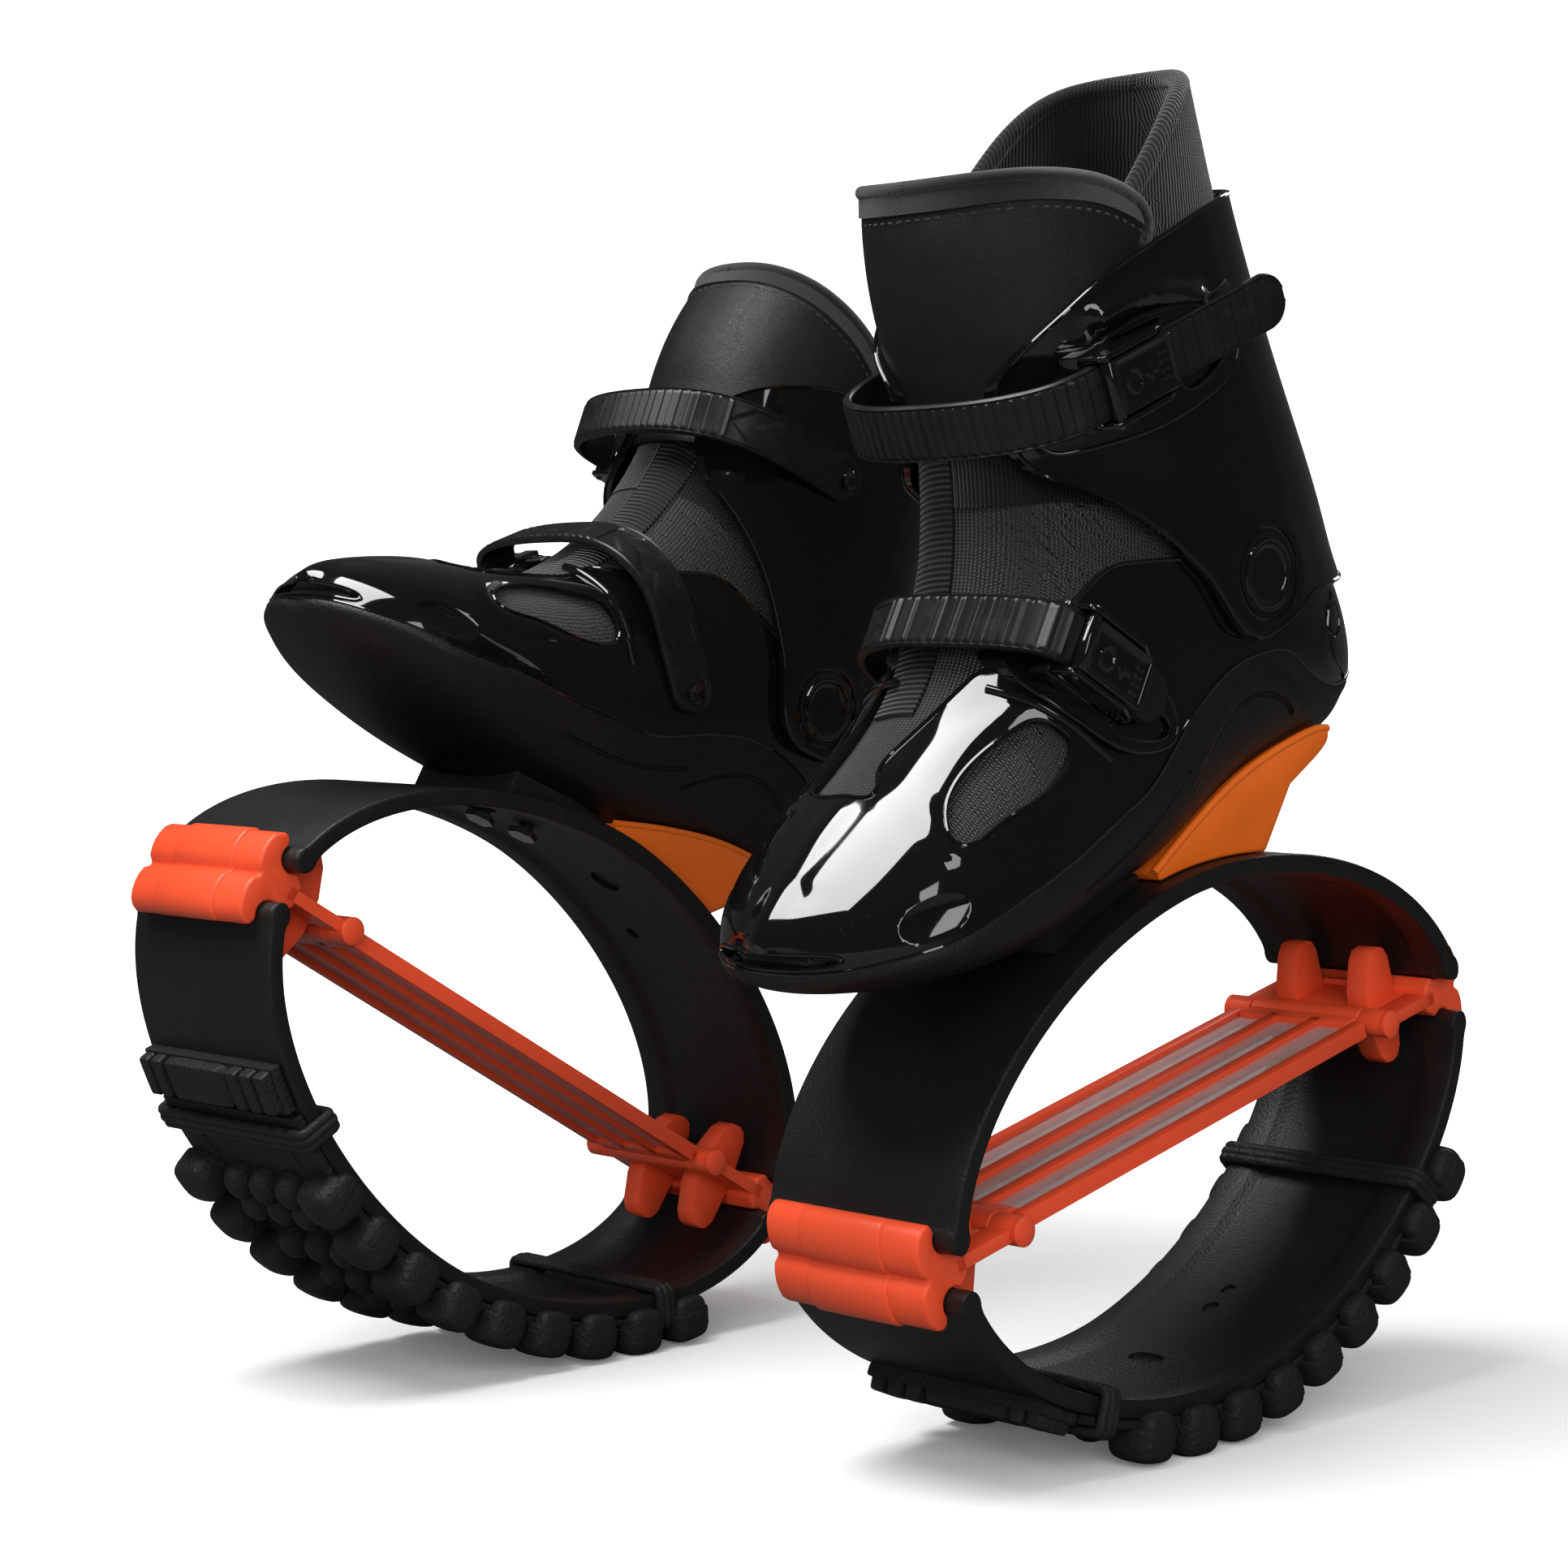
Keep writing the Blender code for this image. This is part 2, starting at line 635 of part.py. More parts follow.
def make_tread(bow):
    """Rubber band on the lower bow, with studs, two loops round the bow and a ribbed block."""
    stations = bow.stations()
    inside = BOW_THICKNESS + GAP
    first = BOW_FACETS // 2 - TREAD_BACK
    last = BOW_FACETS // 2 + TREAD_FRONT
    rings = []
    half = BOW_WIDTH / 2
    for length in stations[first:last + 1]:
        low = bow.at(length, inside)[0]
        high = bow.at(length, inside + TREAD_BASE)[0]
        rings.append([
            Vector((-half, low.y, low.z)), Vector((half, low.y, low.z)),
            Vector((half, high.y, high.z)), Vector((-half, high.y, high.z)),
        ])
    band = loft(rings)
    studs = []
    for row in range(STUD_FIRST_ROW, STUD_LAST_ROW + 1):
        view = bow_frame(bow, row_length(row), inside + TREAD_HEIGHT)
        for side in (-1, 1):
            studs.append(swept_stud(view, stud_profile(side)))
        shift = STUD_PITCH / 2 if row < STUD_LAST_ROW else 0.0
        for place in (-1, 0, 1):
            studs.append(oval_stud(view, place * OVAL_SPREAD, shift))
    loops = []
    for index in (first, last - 1):
        view = facet_frame(bow, index, 0.0)
        wide = half + GAP
        outer = wide + LOOP_WALL
        low = -RUN
        high = BOW_THICKNESS + RUN
        crown = high + LOOP_WALL + TREAD_BASE
        box = [(-outer, low - LOOP_WALL), (outer, low - LOOP_WALL), (outer, crown), (-outer, crown)]
        hole = [(-wide, low), (wide, low), (wide, high), (-wide, high)]
        across = view @ END_VIEW
        loop = extrude(box, -LOOP_LENGTH / 2, LOOP_LENGTH / 2, across)
        loops.append(cut(loop, extrude(hole, -LOOP_LENGTH, LOOP_LENGTH, across)))
    view = facet_frame(bow, last, BOW_THICKNESS + RUN)
    near = LOOP_LENGTH / 2 - STUD_SEAT - (stations[last] - stations[last - 1])
    block_half = BLOCK_WIDTH / 2
    top = BLOCK_HEIGHT
    block = extrude([(near, 0), (near + BLOCK_LENGTH, 0), (near + BLOCK_LENGTH, top / 2),
                     (near + BLOCK_LENGTH - STUD_SEAT * 2, top), (near, top)], -block_half, block_half, view)
    grooves = []
    for share in groove_shares:
        centre = share * block_half
        outline = [(near - OVERRUN, top - GROOVE_DEPTH), (near + BLOCK_LENGTH + OVERRUN, top - GROOVE_DEPTH),
                   (near + BLOCK_LENGTH + OVERRUN, top + OVERRUN), (near - OVERRUN, top + OVERRUN)]
        grooves.append(extrude(outline, centre - GROOVE_WIDTH / 2, centre + GROOVE_WIDTH / 2, view))
    return union(band, *studs, *loops, cut(block, *grooves))


def row_length(row):
    """Length of a stud row along the lower bow, forward of its lowest point."""
    return row * STUD_PITCH + STUD_ROW_SHIFT


# Boot form
def tail_and_top(row, tail_skin, top_skin):
    """Sole or heel end and top end of a form ring, moved out by their skins."""
    tail = Vector((fwd(row[0]), up(row[1])))
    top = Vector((fwd(row[2]), up(row[3])))
    way = (top - tail).normalized()
    floor = max(SOLE_FLOOR * row[7] - SHELL_WALL, 0.0) if tail_skin < 0 else 0.0
    return tail - way * (tail_skin - floor), top + way * top_skin


def form_ring(index, tail_skin, side_skin, top_skin, sides=FORM_SIDES):
    """Ring of points of the boot form, moved out of it by the three skins."""
    row = form_shares[index]
    tail, top = tail_and_top(row, tail_skin, top_skin)
    nose = nose_shares[index] * side_skin if index < len(nose_shares) else 0.0
    half = BOOT_HALF_WIDTH * row[4] + side_skin
    ring = []
    for i in range(sides):
        angle = 2 * math.pi * i / sides
        sine = math.sin(angle)
        along = -math.cos(angle)
        out = half * math.copysign(abs(sine) ** (2 / row[6]), sine)
        rise = math.copysign(abs(along) ** (2 / row[6]), along)
        share = row[5] + rise * (row[5] if rise < 0 else 1 - row[5])
        place = tail.lerp(top, share)
        ring.append(Vector((out, place.x + nose, place.y)))
    return ring


def form(tail_skin, side_skin, top_skin, first=0, sides=FORM_SIDES):
    """Closed boot form from one of its rings to its last."""
    skins = (tail_skin, side_skin, top_skin)
    return loft([form_ring(i, *skins, sides) for i in range(first, len(form_shares))], split=True)


def even_form(skin, first=0, sides=FORM_SIDES):
    """Boot form with the same skin all round."""
    return form(skin, skin, skin, first, sides)


def profile(outline):
    """Side view outline as a solid wider than the boot."""
    reach = BOOT_HALF_WIDTH + CUFF_CLEARANCE + CUFF_WALL + OVERRUN * 2
    return extrude(outline, -reach, reach)


def surface_out(mesh, place, side):
    """How far out a mesh reaches at a place (fwd, up) of the side view."""
    bm = bmesh.new()
    bm.from_mesh(mesh)
    tree = BVHTree.FromBMesh(bm)
    bm.free()
    start = Vector((side * BOOT_LENGTH, place[0], place[1]))
    hit = tree.ray_cast(start, Vector((-side, 0, 0)))[0]
    return abs(hit.x) if hit else 0.0


# Strap and buckle layout
class StrapPlan:
    """Where a strap runs: a band round the boot in a slanting plane."""

    def __init__(self, name, carrier):
        plan = STRAPS[name]
        self.plan = plan
        slope = math.radians(plan["slope_degrees"])
        self.back = Vector((0, -math.cos(slope), -math.sin(slope)))
        self.across = Vector((0, -math.sin(slope), math.cos(slope)))
        length, height = plan["apex_shares"]
        self.apex = Vector((0, fwd(length), up(height)))
        self.pad_centre = plan["buckle_start"] + plan["pad_length"] / 2
        outer = max(self.carrier_out(carrier, self.pad_centre + shift, 1)
                    for shift in (-plan["pad_length"] / 2, 0.0, plan["pad_length"] / 2))
        self.pad_face = outer + PAD_PROUD
        self.outer_out = self.pad_face + GAP + BUCKLE_FLOOR + GAP + STRAP_THICKNESS / 2
        inner = max(self.carrier_out(carrier, plan["inner_end"] - shift, -1)
                    for shift in (0.0, SCREW_SETBACK, SCREW_SETBACK * 3))
        self.inner_out = inner + GAP + STRAP_THICKNESS / 2

    def carrier_out(self, carrier, distance, side):
        """How far out the carrier reaches at a distance back along the strap."""
        centre = self.place(distance, 0.0)
        half = STRAP_WIDTH / 2
        places = [centre + self.across * half * share for share in (-1, 0, 1)]
        return max(surface_out(carrier, (place.y, place.z), side) for place in places)

    def place(self, distance, out):
        """Point at a distance back from the apex and a distance out."""
        return self.apex + self.back * distance + Vector((out, 0, 0))

    def route(self):
        """Points (distance back, out) of the strap's middle line, inner end to outer end."""
        points = []
        for side, out, turn, end in ((-1, self.inner_out, self.plan["inner_turn"], self.plan["inner_end"]),
                                     (1, self.outer_out, self.plan["outer_turn"], self.plan["outer_end"])):
            half = []
            for i in range(1, STRAP_STEPS + 1):
                angle = math.pi / 2 * i / STRAP_STEPS
                back = turn * (1 - math.cos(angle) ** (2 / STRAP_POWER)) if i < STRAP_STEPS else turn
                half.append((back, side * out * math.sin(angle) ** (2 / STRAP_POWER)))
            half.append((end, side * out))
            points.append(half)
        return list(reversed(points[0])) + [(0.0, 0.0)] + points[1]

    def pad(self):
        """Solid boss under the buckle, from within the wall to the pad's face."""
        view = frame(self.place(self.pad_centre, 0.0), (1, 0, 0), self.back, self.across)
        length = self.plan["pad_length"] / 2
        width = self.plan["pad_width"] / 2
        corner = width / 3
        outline = [(-length, -width), (length - corner, -width), (length, -width + corner),
                   (length, width - corner), (length - corner, width), (-length, width)]
        return extrude(outline, self.pad_face - PAD_ROOT, self.pad_face, view)

    def views(self):
        """Buckle views along the strap and across it, seated on the pad's face."""
        seat = self.place(self.plan["buckle_start"], self.pad_face + GAP)
        out = Vector((1, 0, 0))
        return frame(seat, self.back, self.across, out), frame(seat, self.across, self.back, out)

    def lever_axis(self):
        """Middle of the lever's pin."""
        rise = BUCKLE_FLOOR + GAP + STRAP_THICKNESS + GAP + LEVER_BARREL_RADIUS
        return self.place(self.plan["buckle_start"] + BUCKLE_PIN_SETBACK, self.pad_face + GAP + rise)

    def screw_place(self):
        """Middle of the screw on the carrier's inner side."""
        return self.place(self.plan["inner_end"] - SCREW_SETBACK, 0.0)


def make_strap(plan):
    """A strap with a hole for its screw."""
    route = plan.route()
    rings = []
    for i, (back, out) in enumerate(route):
        before = Vector(route[max(i - 1, 0)])
        after = Vector(route[min(i + 1, len(route) - 1)])
        along = (after - before).normalized()
        outward = Vector((-along.y, along.x))
        ring = []
        for depth, width in ((-1, -1), (1, -1), (1, 1), (-1, 1)):
            shift = outward * depth * STRAP_THICKNESS / 2
            point = plan.place(back + shift.x, out + shift.y)
            ring.append(point + plan.across * width * STRAP_WIDTH / 2)
        rings.append(ring)
    hole = screw_bore(plan)
    return cut(loft(rings), hole)


def screw_bore(plan):
    """Cutter for a strap's screw, through the strap and its carrier's wall."""
    place = plan.screw_place()
    reach = plan.inner_out + OVERRUN
    inside = plan.inner_out - OVERRUN * 2
    return extrude(circle(SCREW_RADIUS + GAP, PIN_SIDES, (place.y, place.z)), -reach, -inside)


def make_strap_screw(plan, carrier):
    """A strap's screw: head on the strap, shank into the carrier's wall."""
    place = plan.screw_place()
    centre = (place.y, place.z)
    face = plan.inner_out + STRAP_THICKNESS / 2 + GAP
    root = surface_out(carrier, centre, -1) - SHELL_WALL / 2
    head = extrude(circle(SCREW_HEAD_RADIUS, HEAD_SIDES, centre), -face - SCREW_HEAD_DEPTH, -face)
    shank = extrude(circle(SCREW_RADIUS, PIN_SIDES, centre), -face - GAP, -root)
    return union(head, shank)


def make_buckle(plan):
    """A buckle's base, lever and pin."""
    along, across = plan.views()
    wide = STRAP_WIDTH / 2 + GAP + BUCKLE_CHEEK / 6
    outer = wide + BUCKLE_CHEEK
    channel = [(-outer, 0), (outer, 0), (outer, BUCKLE_HEIGHT), (wide, BUCKLE_HEIGHT), (wide, BUCKLE_FLOOR),
               (-wide, BUCKLE_FLOOR), (-wide, BUCKLE_HEIGHT), (-outer, BUCKLE_HEIGHT)]
    base = extrude(channel, 0.0, BUCKLE_LENGTH, along)
    rise = BUCKLE_FLOOR + GAP + STRAP_THICKNESS + GAP + LEVER_BARREL_RADIUS
    centre = (BUCKLE_PIN_SETBACK, rise)
    bore = extrude(circle(BUCKLE_PIN_RADIUS + GAP, PIN_SIDES, centre), -outer - OVERRUN, outer + OVERRUN, across)
    base = cut(base, bore)
    reach = wide - GAP - BUCKLE_CHEEK / 6
    low = rise - LEVER_BARREL_RADIUS + LEVER_RELIEF
    barrel = [point for point in circle(LEVER_BARREL_RADIUS, HEAD_SIDES, centre) if point[0] <= centre[0] + RUN]
    barrel.sort(key=lambda point: math.atan2(point[1] - centre[1], centre[0] + RUN - point[0]))
    end = BUCKLE_PIN_SETBACK + LEVER_LENGTH
    plate = [(centre[0] + LEVER_BARREL_RADIUS, low + LEVER_PLATE), (end - LEVER_PLATE, low + LEVER_PLATE),
             (end, low + LEVER_PLATE / 2), (end, low), (centre[0] + LEVER_BARREL_RADIUS, low)]
    lever = cut(extrude(barrel + plate, -reach, reach, across), bore)
    pin_end = outer + BUCKLE_PIN_HEAD
    pin = extrude(circle(BUCKLE_PIN_RADIUS, PIN_SIDES, centre), -pin_end, pin_end, across)
    return base, lever, pin


# Boot parts
def make_sole(upper, wedge_line, bolt_bores):
    """Sole tray: the form below the boundary, hollow, with a pocket and a saddle."""
    ground = up(0) - BOW_THICKNESS
    outline = side_outline(boundary_shares)
    outline += [(outline[-1][0], ground), (wedge_line[-1][0] - GAP, ground)]
    outline += [(a, b + GAP) for a, b in reversed(wedge_line)]
    outline += [(wedge_line[0][0] + GAP, ground), (outline[0][0], ground)]
    tray = within(even_form(0.0), profile(outline))
    tray = cut(tray, even_form(-SHELL_WALL, LINER_FIRST_RING))
    foot = []
    for i in range(SADDLE_STEPS + 1):
        place = SADDLE_BACK + (SADDLE_FRONT - SADDLE_BACK) * i / SADDLE_STEPS
        point = upper.at_fwd(place, BOW_THICKNESS + GAP + RUN)
        foot.append((point.y, point.z))
    top = up(0) + SOLE_FLOOR / 2
    saddle = extrude(foot + [(foot[-1][0], top), (foot[0][0], top)], -SADDLE_WIDTH / 2, SADDLE_WIDTH / 2)
    return cut(union(tray, saddle), *bolt_bores)


def make_wedge(upper, wedge_line):
    """Wedge between the sole and the rear half of the upper bow."""
    foot = []
    for i in range(WEDGE_FOOT_STEPS + 1):
        place = -WEDGE_FOOT_BACK + (WEDGE_FOOT_BACK + WEDGE_FOOT_FRONT) * i / WEDGE_FOOT_STEPS
        point = upper.at_fwd(place, BOW_THICKNESS + GAP + RUN)
        foot.append((point.y, point.z))
    tail = side_outline(wedge_tail_shares)
    outline = list(wedge_line) + tail + foot
    return extrude(outline, -WEDGE_WIDTH / 2, WEDGE_WIDTH / 2)


def bolt(upper, place):
    """A mounting bolt from the upper bow's channel into the sole, and its bore."""
    seat = upper.at_fwd(place, CHANNEL_DEPTH)
    turn = frame(Vector((0, place, seat.z)), (0, 0, 1), (1, 0, 0), (0, 1, 0))
    drop = BOLT_HEAD_DEPTH
    head = extrude(circle(BOLT_HEAD_RADIUS, 6), -drop * 2, -drop, turn)
    shank = extrude(circle(BOLT_RADIUS, PIN_SIDES), -drop - GAP, BOLT_BITE, turn)
    bore = extrude(circle(BOLT_RADIUS + GAP, PIN_SIDES), -OVERRUN * 3, BOLT_BITE + GAP, turn)
    return union(head, shank), bore


def make_pivot(cuff_form, side):
    """A cuff pivot: a disc sunk in the cuff, its shank through cuff and shell, and its cutters."""
    centre = (fwd(PIVOT_FWD_share), up(PIVOT_UP_share))
    skin = surface_out(cuff_form, centre, side)
    face = skin - PIVOT_SINK
    root = skin - CUFF_WALL - CUFF_CLEARANCE - SHELL_WALL / 2
    head = extrude(circle(PIVOT_HEAD_RADIUS, DISC_SIDES, centre),
                   *sorted((side * (face + GAP), side * (face + GAP + PIVOT_HEAD_DEPTH))))
    shank = extrude(circle(PIVOT_RADIUS, HEAD_SIDES, centre), *sorted((side * (face + GAP * 2), side * root)))
    sink = extrude(circle(PIVOT_HEAD_RADIUS + GAP, DISC_SIDES, centre),
                   *sorted((side * face, side * (face + OVERRUN * 2))))
    bore = extrude(circle(PIVOT_RADIUS + GAP, HEAD_SIDES, centre),
                   *sorted((side * (root - OVERRUN), side * (face + OVERRUN))))
    return union(head, shank), sink, bore


def make_footbed():
    """Insole: a slab on the liner's floor."""
    skin = -(SHELL_WALL + GAP + LINER_WALL + GAP)
    rings = form_shares[CAVITY_FIRST_RING + 1:14]
    line = [tail_and_top(row, skin - FOOTBED_THICKNESS, 0.0)[0] for row in rings]
    top = [(point.x, point.y) for point in line]
    outline = top + [(top[-1][0], up(0)), (top[0][0], up(0))]
    return within(even_form(skin, CAVITY_FIRST_RING, CAVITY_SIDES), profile(outline))


def make_shoe():
    """Every piece of one shoe as (name, mesh, finish, group), and the places of its axes."""
    upper = Bow(RING_UP)
    lower = Bow(-RING_DOWN)
    wedge_line = side_outline(wedge_top_shares)
    pieces = []

    bolts = {name: bolt(upper, place) for name, place in BOLT_PLACES.items()}
    bolt_bores = [bore for _, bore in bolts.values()]
    upper_bow = cut(make_bow(upper), *bolt_bores)
    pieces.append(("sole_base", make_sole(upper, wedge_line, bolt_bores), "matte_black", "shoe"))
    pieces.append(("wedge", make_wedge(upper, wedge_line), "wedge_orange", "shoe"))
    pieces.append(("upper_bow", upper_bow, "matte_black", "shoe"))
    for name, (mesh, _) in bolts.items():
        pieces.append((name + "_mounting_bolt", mesh, "steel", "shoe"))
    pieces.append(("lower_bow", make_bow(lower), "matte_black", "shoe"))
    pieces.append(("tread", make_tread(lower), "rubber_black", "shoe"))
    for name, facing in (("front", 1), ("rear", -1)):
        pieces.append((name + "_clip", make_clip(upper, lower, facing), "spring_orange", "shoe"))
        pieces.append((name + "_clip_pin", make_pin(facing), "spring_orange", "shoe"))
    pieces.append(("tension_spring", make_spring(), "spring_orange", "shoe"))

    outer_form = even_form(0.0)
    cuff_form = even_form(CUFF_CLEARANCE + CUFF_WALL, CUFF_FIRST_RING)
    lower_plan = StrapPlan("lower", outer_form)
    upper_plan = StrapPlan("upper", cuff_form)
    pivots = {name: make_pivot(cuff_form, side) for name, side in (("outer", 1), ("inner", -1))}

    shell_outline = side_outline(boundary_shares, GAP) + side_outline(shell_top_shares)
    shell = union(within(outer_form, profile(shell_outline)), lower_plan.pad())
    shell = cut(shell, even_form(-SHELL_WALL, LINER_FIRST_RING), profile(side_outline(window_shares)),
                screw_bore(lower_plan), *[bore for _, _, bore in pivots.values()])
    pieces.append(("shell", shell, "gloss_black", "shoe"))

    cuff = union(within(cuff_form, profile(side_outline(cuff_shares))), upper_plan.pad())
    cuff = cut(cuff, even_form(CUFF_CLEARANCE, CUFF_FIRST_RING), screw_bore(upper_plan))
    for _, sink, bore in pivots.values():
        cuff = cut(cuff, sink, bore)
    pieces.append(("cuff", cuff, "gloss_black", "cuff"))
    for name, (mesh, _, _) in pivots.items():
        pieces.append(("cuff_pivot_" + name, mesh, "gloss_black", "shoe"))

    split = side_outline(collar_bottom_shares, -SPLIT_GAP)
    low = up(0) - OVERRUN
    foot_outline = split + [(split[-1][0], low), (fwd(1) + OVERRUN, low), (fwd(1) + OVERRUN, split[0][1])]
    liner_skin = -(SHELL_WALL + GAP)
    foot = cut(within(even_form(liner_skin, LINER_FIRST_RING), profile(foot_outline)),
               even_form(liner_skin - LINER_WALL, CAVITY_FIRST_RING, CAVITY_SIDES))
    pieces.append(("liner_foot", foot, "fabric_black", "shoe"))
    pieces.append(("footbed", make_footbed(), "fabric_black", "shoe"))

    back_skin = CUFF_CLEARANCE - GAP
    tongue_inner = back_skin - TONGUE_THICKNESS
    collar_skin = tongue_inner - GAP
    collar_outline = side_outline(collar_bottom_shares) + side_outline(collar_top_shares)
    collar = cut(
        within(form(back_skin, collar_skin, collar_skin, CUFF_FIRST_RING), profile(collar_outline)),
        form(back_skin - COLLAR_WALL, collar_skin - COLLAR_WALL, collar_skin - COLLAR_WALL,
             CUFF_FIRST_RING, CAVITY_SIDES),
    )
    pieces.append(("liner_collar", collar, "fabric_black", "cuff"))
    tongue = cut(within(even_form(back_skin, CUFF_FIRST_RING), profile(side_outline(tongue_shares))),
                 even_form(tongue_inner, CUFF_FIRST_RING))
    pieces.append(("tongue", tongue, "leather_black", "cuff"))

    for name, plan, carrier, group in (("lower", lower_plan, outer_form, "shoe"),
                                       ("upper", upper_plan, cuff_form, "cuff")):
        base, lever, pin = make_buckle(plan)
        pieces.append((name + "_strap", make_strap(plan), "rubber_black", group))
        pieces.append((name + "_strap_screw", make_strap_screw(plan, carrier), "gloss_black", group))
        pieces.append((name + "_buckle_base", base, "gloss_black", group))
        pieces.append((name + "_buckle_lever", lever, "gloss_black", name + "_lever"))
        pieces.append((name + "_buckle_pin", pin, "steel", group))

    axes = {
        "shoe": Vector((0, 0, 0)),
        "cuff": Vector((0, fwd(PIVOT_FWD_share), up(PIVOT_UP_share))),
        "lower_lever": lower_plan.lever_axis(),
        "upper_lever": upper_plan.lever_axis(),
    }
    return pieces, axes, lower


# Placing
def make_material(name):
    """Principled material from the table of finishes."""
    colour, roughness, metallic = FINISHES[name]
    material = bpy.data.materials.new(name)
    material.use_nodes = True
    shader = material.node_tree.nodes["Principled BSDF"]
    shader.inputs["Base Color"].default_value = (*colour, 1.0)
    shader.inputs["Roughness"].default_value = roughness
    shader.inputs["Metallic"].default_value = metallic
    material.diffuse_color = (*colour, 1.0)
    return material


def empty(name, place, parent=None):
    """Empty that carries a group of pieces."""
    item = bpy.data.objects.new(name, None)
    item.location = place
    item.parent = parent
    bpy.context.scene.collection.objects.link(item)
    return item


def place_shoe(side_name, pieces, axes, lower):
    """Place one shoe: mirrored for the left foot, rolled on to its standing row."""
    side = 1 if side_name == "left" else -1
    point, outward = lower.at(row_length(STANDING_ROW[side_name]), BOW_THICKNESS + GAP + TREAD_HEIGHT)
    pitch = math.atan2(outward.y, -outward.z)
    height = point.y * math.sin(pitch) - point.z * math.cos(pitch)
    root = empty(side_name + "_shoe", (side * STANCE_HALF_WIDTH, side * STANCE_HALF_STEP, height))
    root.rotation_euler = (pitch, 0, 0)
    turn = Matrix.Diagonal((side, -1, 1, 1))
    carriers = {"shoe": root}
    for name, place in axes.items():
        if name != "shoe":
            parent = carriers["cuff"] if name == "upper_lever" else root
            base = axes["cuff"] if name == "upper_lever" else Vector((0, 0, 0))
            carriers[name] = empty(side_name + "_" + name + "_axis", turn @ (place - base), parent)
    for name, mesh, finish, group in pieces:
        bm = bmesh.new()
        bm.from_mesh(mesh)
        bmesh.ops.transform(bm, matrix=turn @ Matrix.Translation(-axes[group]), verts=bm.verts)
        copy = finished(bm, side_name + "_" + name)
        copy.materials.clear()
        copy.materials.append(make_material(finish))
        copy.shade_smooth()
        copy.set_sharp_from_angle(angle=math.radians(35))
        item = bpy.data.objects.new(side_name + "_" + name, copy)
        item.parent = carriers[group]
        bpy.context.scene.collection.objects.link(item)
    return root


def centre_pair(roots):
    """Move the two shoes so that their bounding box stands centred over the origin."""
    bpy.context.view_layer.update()
    places = [
        (item.matrix_world @ vertex.co).y
        for item in bpy.data.objects if item.type == "MESH" for vertex in item.data.vertices
    ]
    for root in roots:
        root.location.y -= (min(places) + max(places)) / 2
    bpy.context.view_layer.update()


def main():
    """Build the pair."""
    for item in list(bpy.data.objects):
        bpy.data.objects.remove(item)
    pieces, axes, lower = make_shoe()
    centre_pair([place_shoe(side_name, pieces, axes, lower) for side_name in STANDING_ROW])


main()
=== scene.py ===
"""Looks of a pair of rebound boots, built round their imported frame.

A shoe is made once in its own axes, in metres: out (x, to the outer side of the
foot), fwd (y, to the toe) and up (z), from the ring's centre. It is then set in
place twice, as the left and the right shoe, where the frame's joints say.
"""
import json
import math

import bmesh
import bpy
import numpy as np
from bpy.props import FloatProperty, FloatVectorProperty, IntProperty, PointerProperty
from mathutils import Matrix, Vector
from mathutils.bvhtree import BVHTree


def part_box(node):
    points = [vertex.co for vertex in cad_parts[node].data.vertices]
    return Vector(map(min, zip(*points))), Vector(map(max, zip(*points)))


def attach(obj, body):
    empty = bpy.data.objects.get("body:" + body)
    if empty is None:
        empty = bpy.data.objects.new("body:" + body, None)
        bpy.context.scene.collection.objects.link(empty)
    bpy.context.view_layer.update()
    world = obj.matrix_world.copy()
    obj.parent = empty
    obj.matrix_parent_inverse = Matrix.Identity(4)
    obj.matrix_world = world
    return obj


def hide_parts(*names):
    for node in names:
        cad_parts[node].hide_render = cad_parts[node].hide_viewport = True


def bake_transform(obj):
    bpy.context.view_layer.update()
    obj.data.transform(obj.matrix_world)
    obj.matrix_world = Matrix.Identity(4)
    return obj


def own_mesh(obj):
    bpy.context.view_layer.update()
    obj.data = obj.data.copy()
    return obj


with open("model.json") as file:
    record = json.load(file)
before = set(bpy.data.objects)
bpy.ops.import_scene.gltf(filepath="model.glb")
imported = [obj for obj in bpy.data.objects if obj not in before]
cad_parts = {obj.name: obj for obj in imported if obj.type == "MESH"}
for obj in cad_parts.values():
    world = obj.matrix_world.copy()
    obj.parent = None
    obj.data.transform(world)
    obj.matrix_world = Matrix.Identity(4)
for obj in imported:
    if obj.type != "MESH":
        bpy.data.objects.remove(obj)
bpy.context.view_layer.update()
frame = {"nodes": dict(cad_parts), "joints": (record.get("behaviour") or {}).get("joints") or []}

bl_info = {
    "name": "Rebound boots",
    "version": (1, 0, 0),
    "blender": (4, 5, 0),
    "location": "View3D > Sidebar > Rebound boots",
    "description": "Dresses the packed frame of a pair of rebound boots",
    "category": "Object",
}

JOINTS = {joint["name"]: joint for joint in frame["joints"]}
SIDES = {"left": 1, "right": -1}

# Boot and ring, as in the frame
BOOT_LENGTH = 0.330
BOOT_HEIGHT = 0.270
BOOT_HALF_WIDTH = 0.054
HEEL_SETBACK = 0.154
CROWN = 0.0933
PIVOT = (-0.05896, 0.18807)
PIVOT_RADIUS = 0.0125
RING_HALF_LENGTH = 0.142
RING_UP = 0.086
RING_DOWN = 0.092
RING_POWER = 1.83
BOW_WIDTH = 0.088
BOW_THICKNESS = 0.007
BOW_END_GAP = 0.006
BEAD_RADIUS = 0.0048
CHANNEL_HALF = 0.028
CHANNEL_DEPTH = 0.0025
BOW_CORNER = 0.0013
RECESS_DEPTH = 0.0016
CLIP_WIDTH = 0.072
PIN_REACH = 0.108
PIN_HEAD = 0.0053
CLIP_LOBE = (0.014, 0.020)
CLIP_WEB = 0.0087
CLIP_MIDDLE = 0.019
CLIP_PLATE = (0.019, 0.0259, 0.0024)
CLIP_TAB = (0.019, 0.0235)
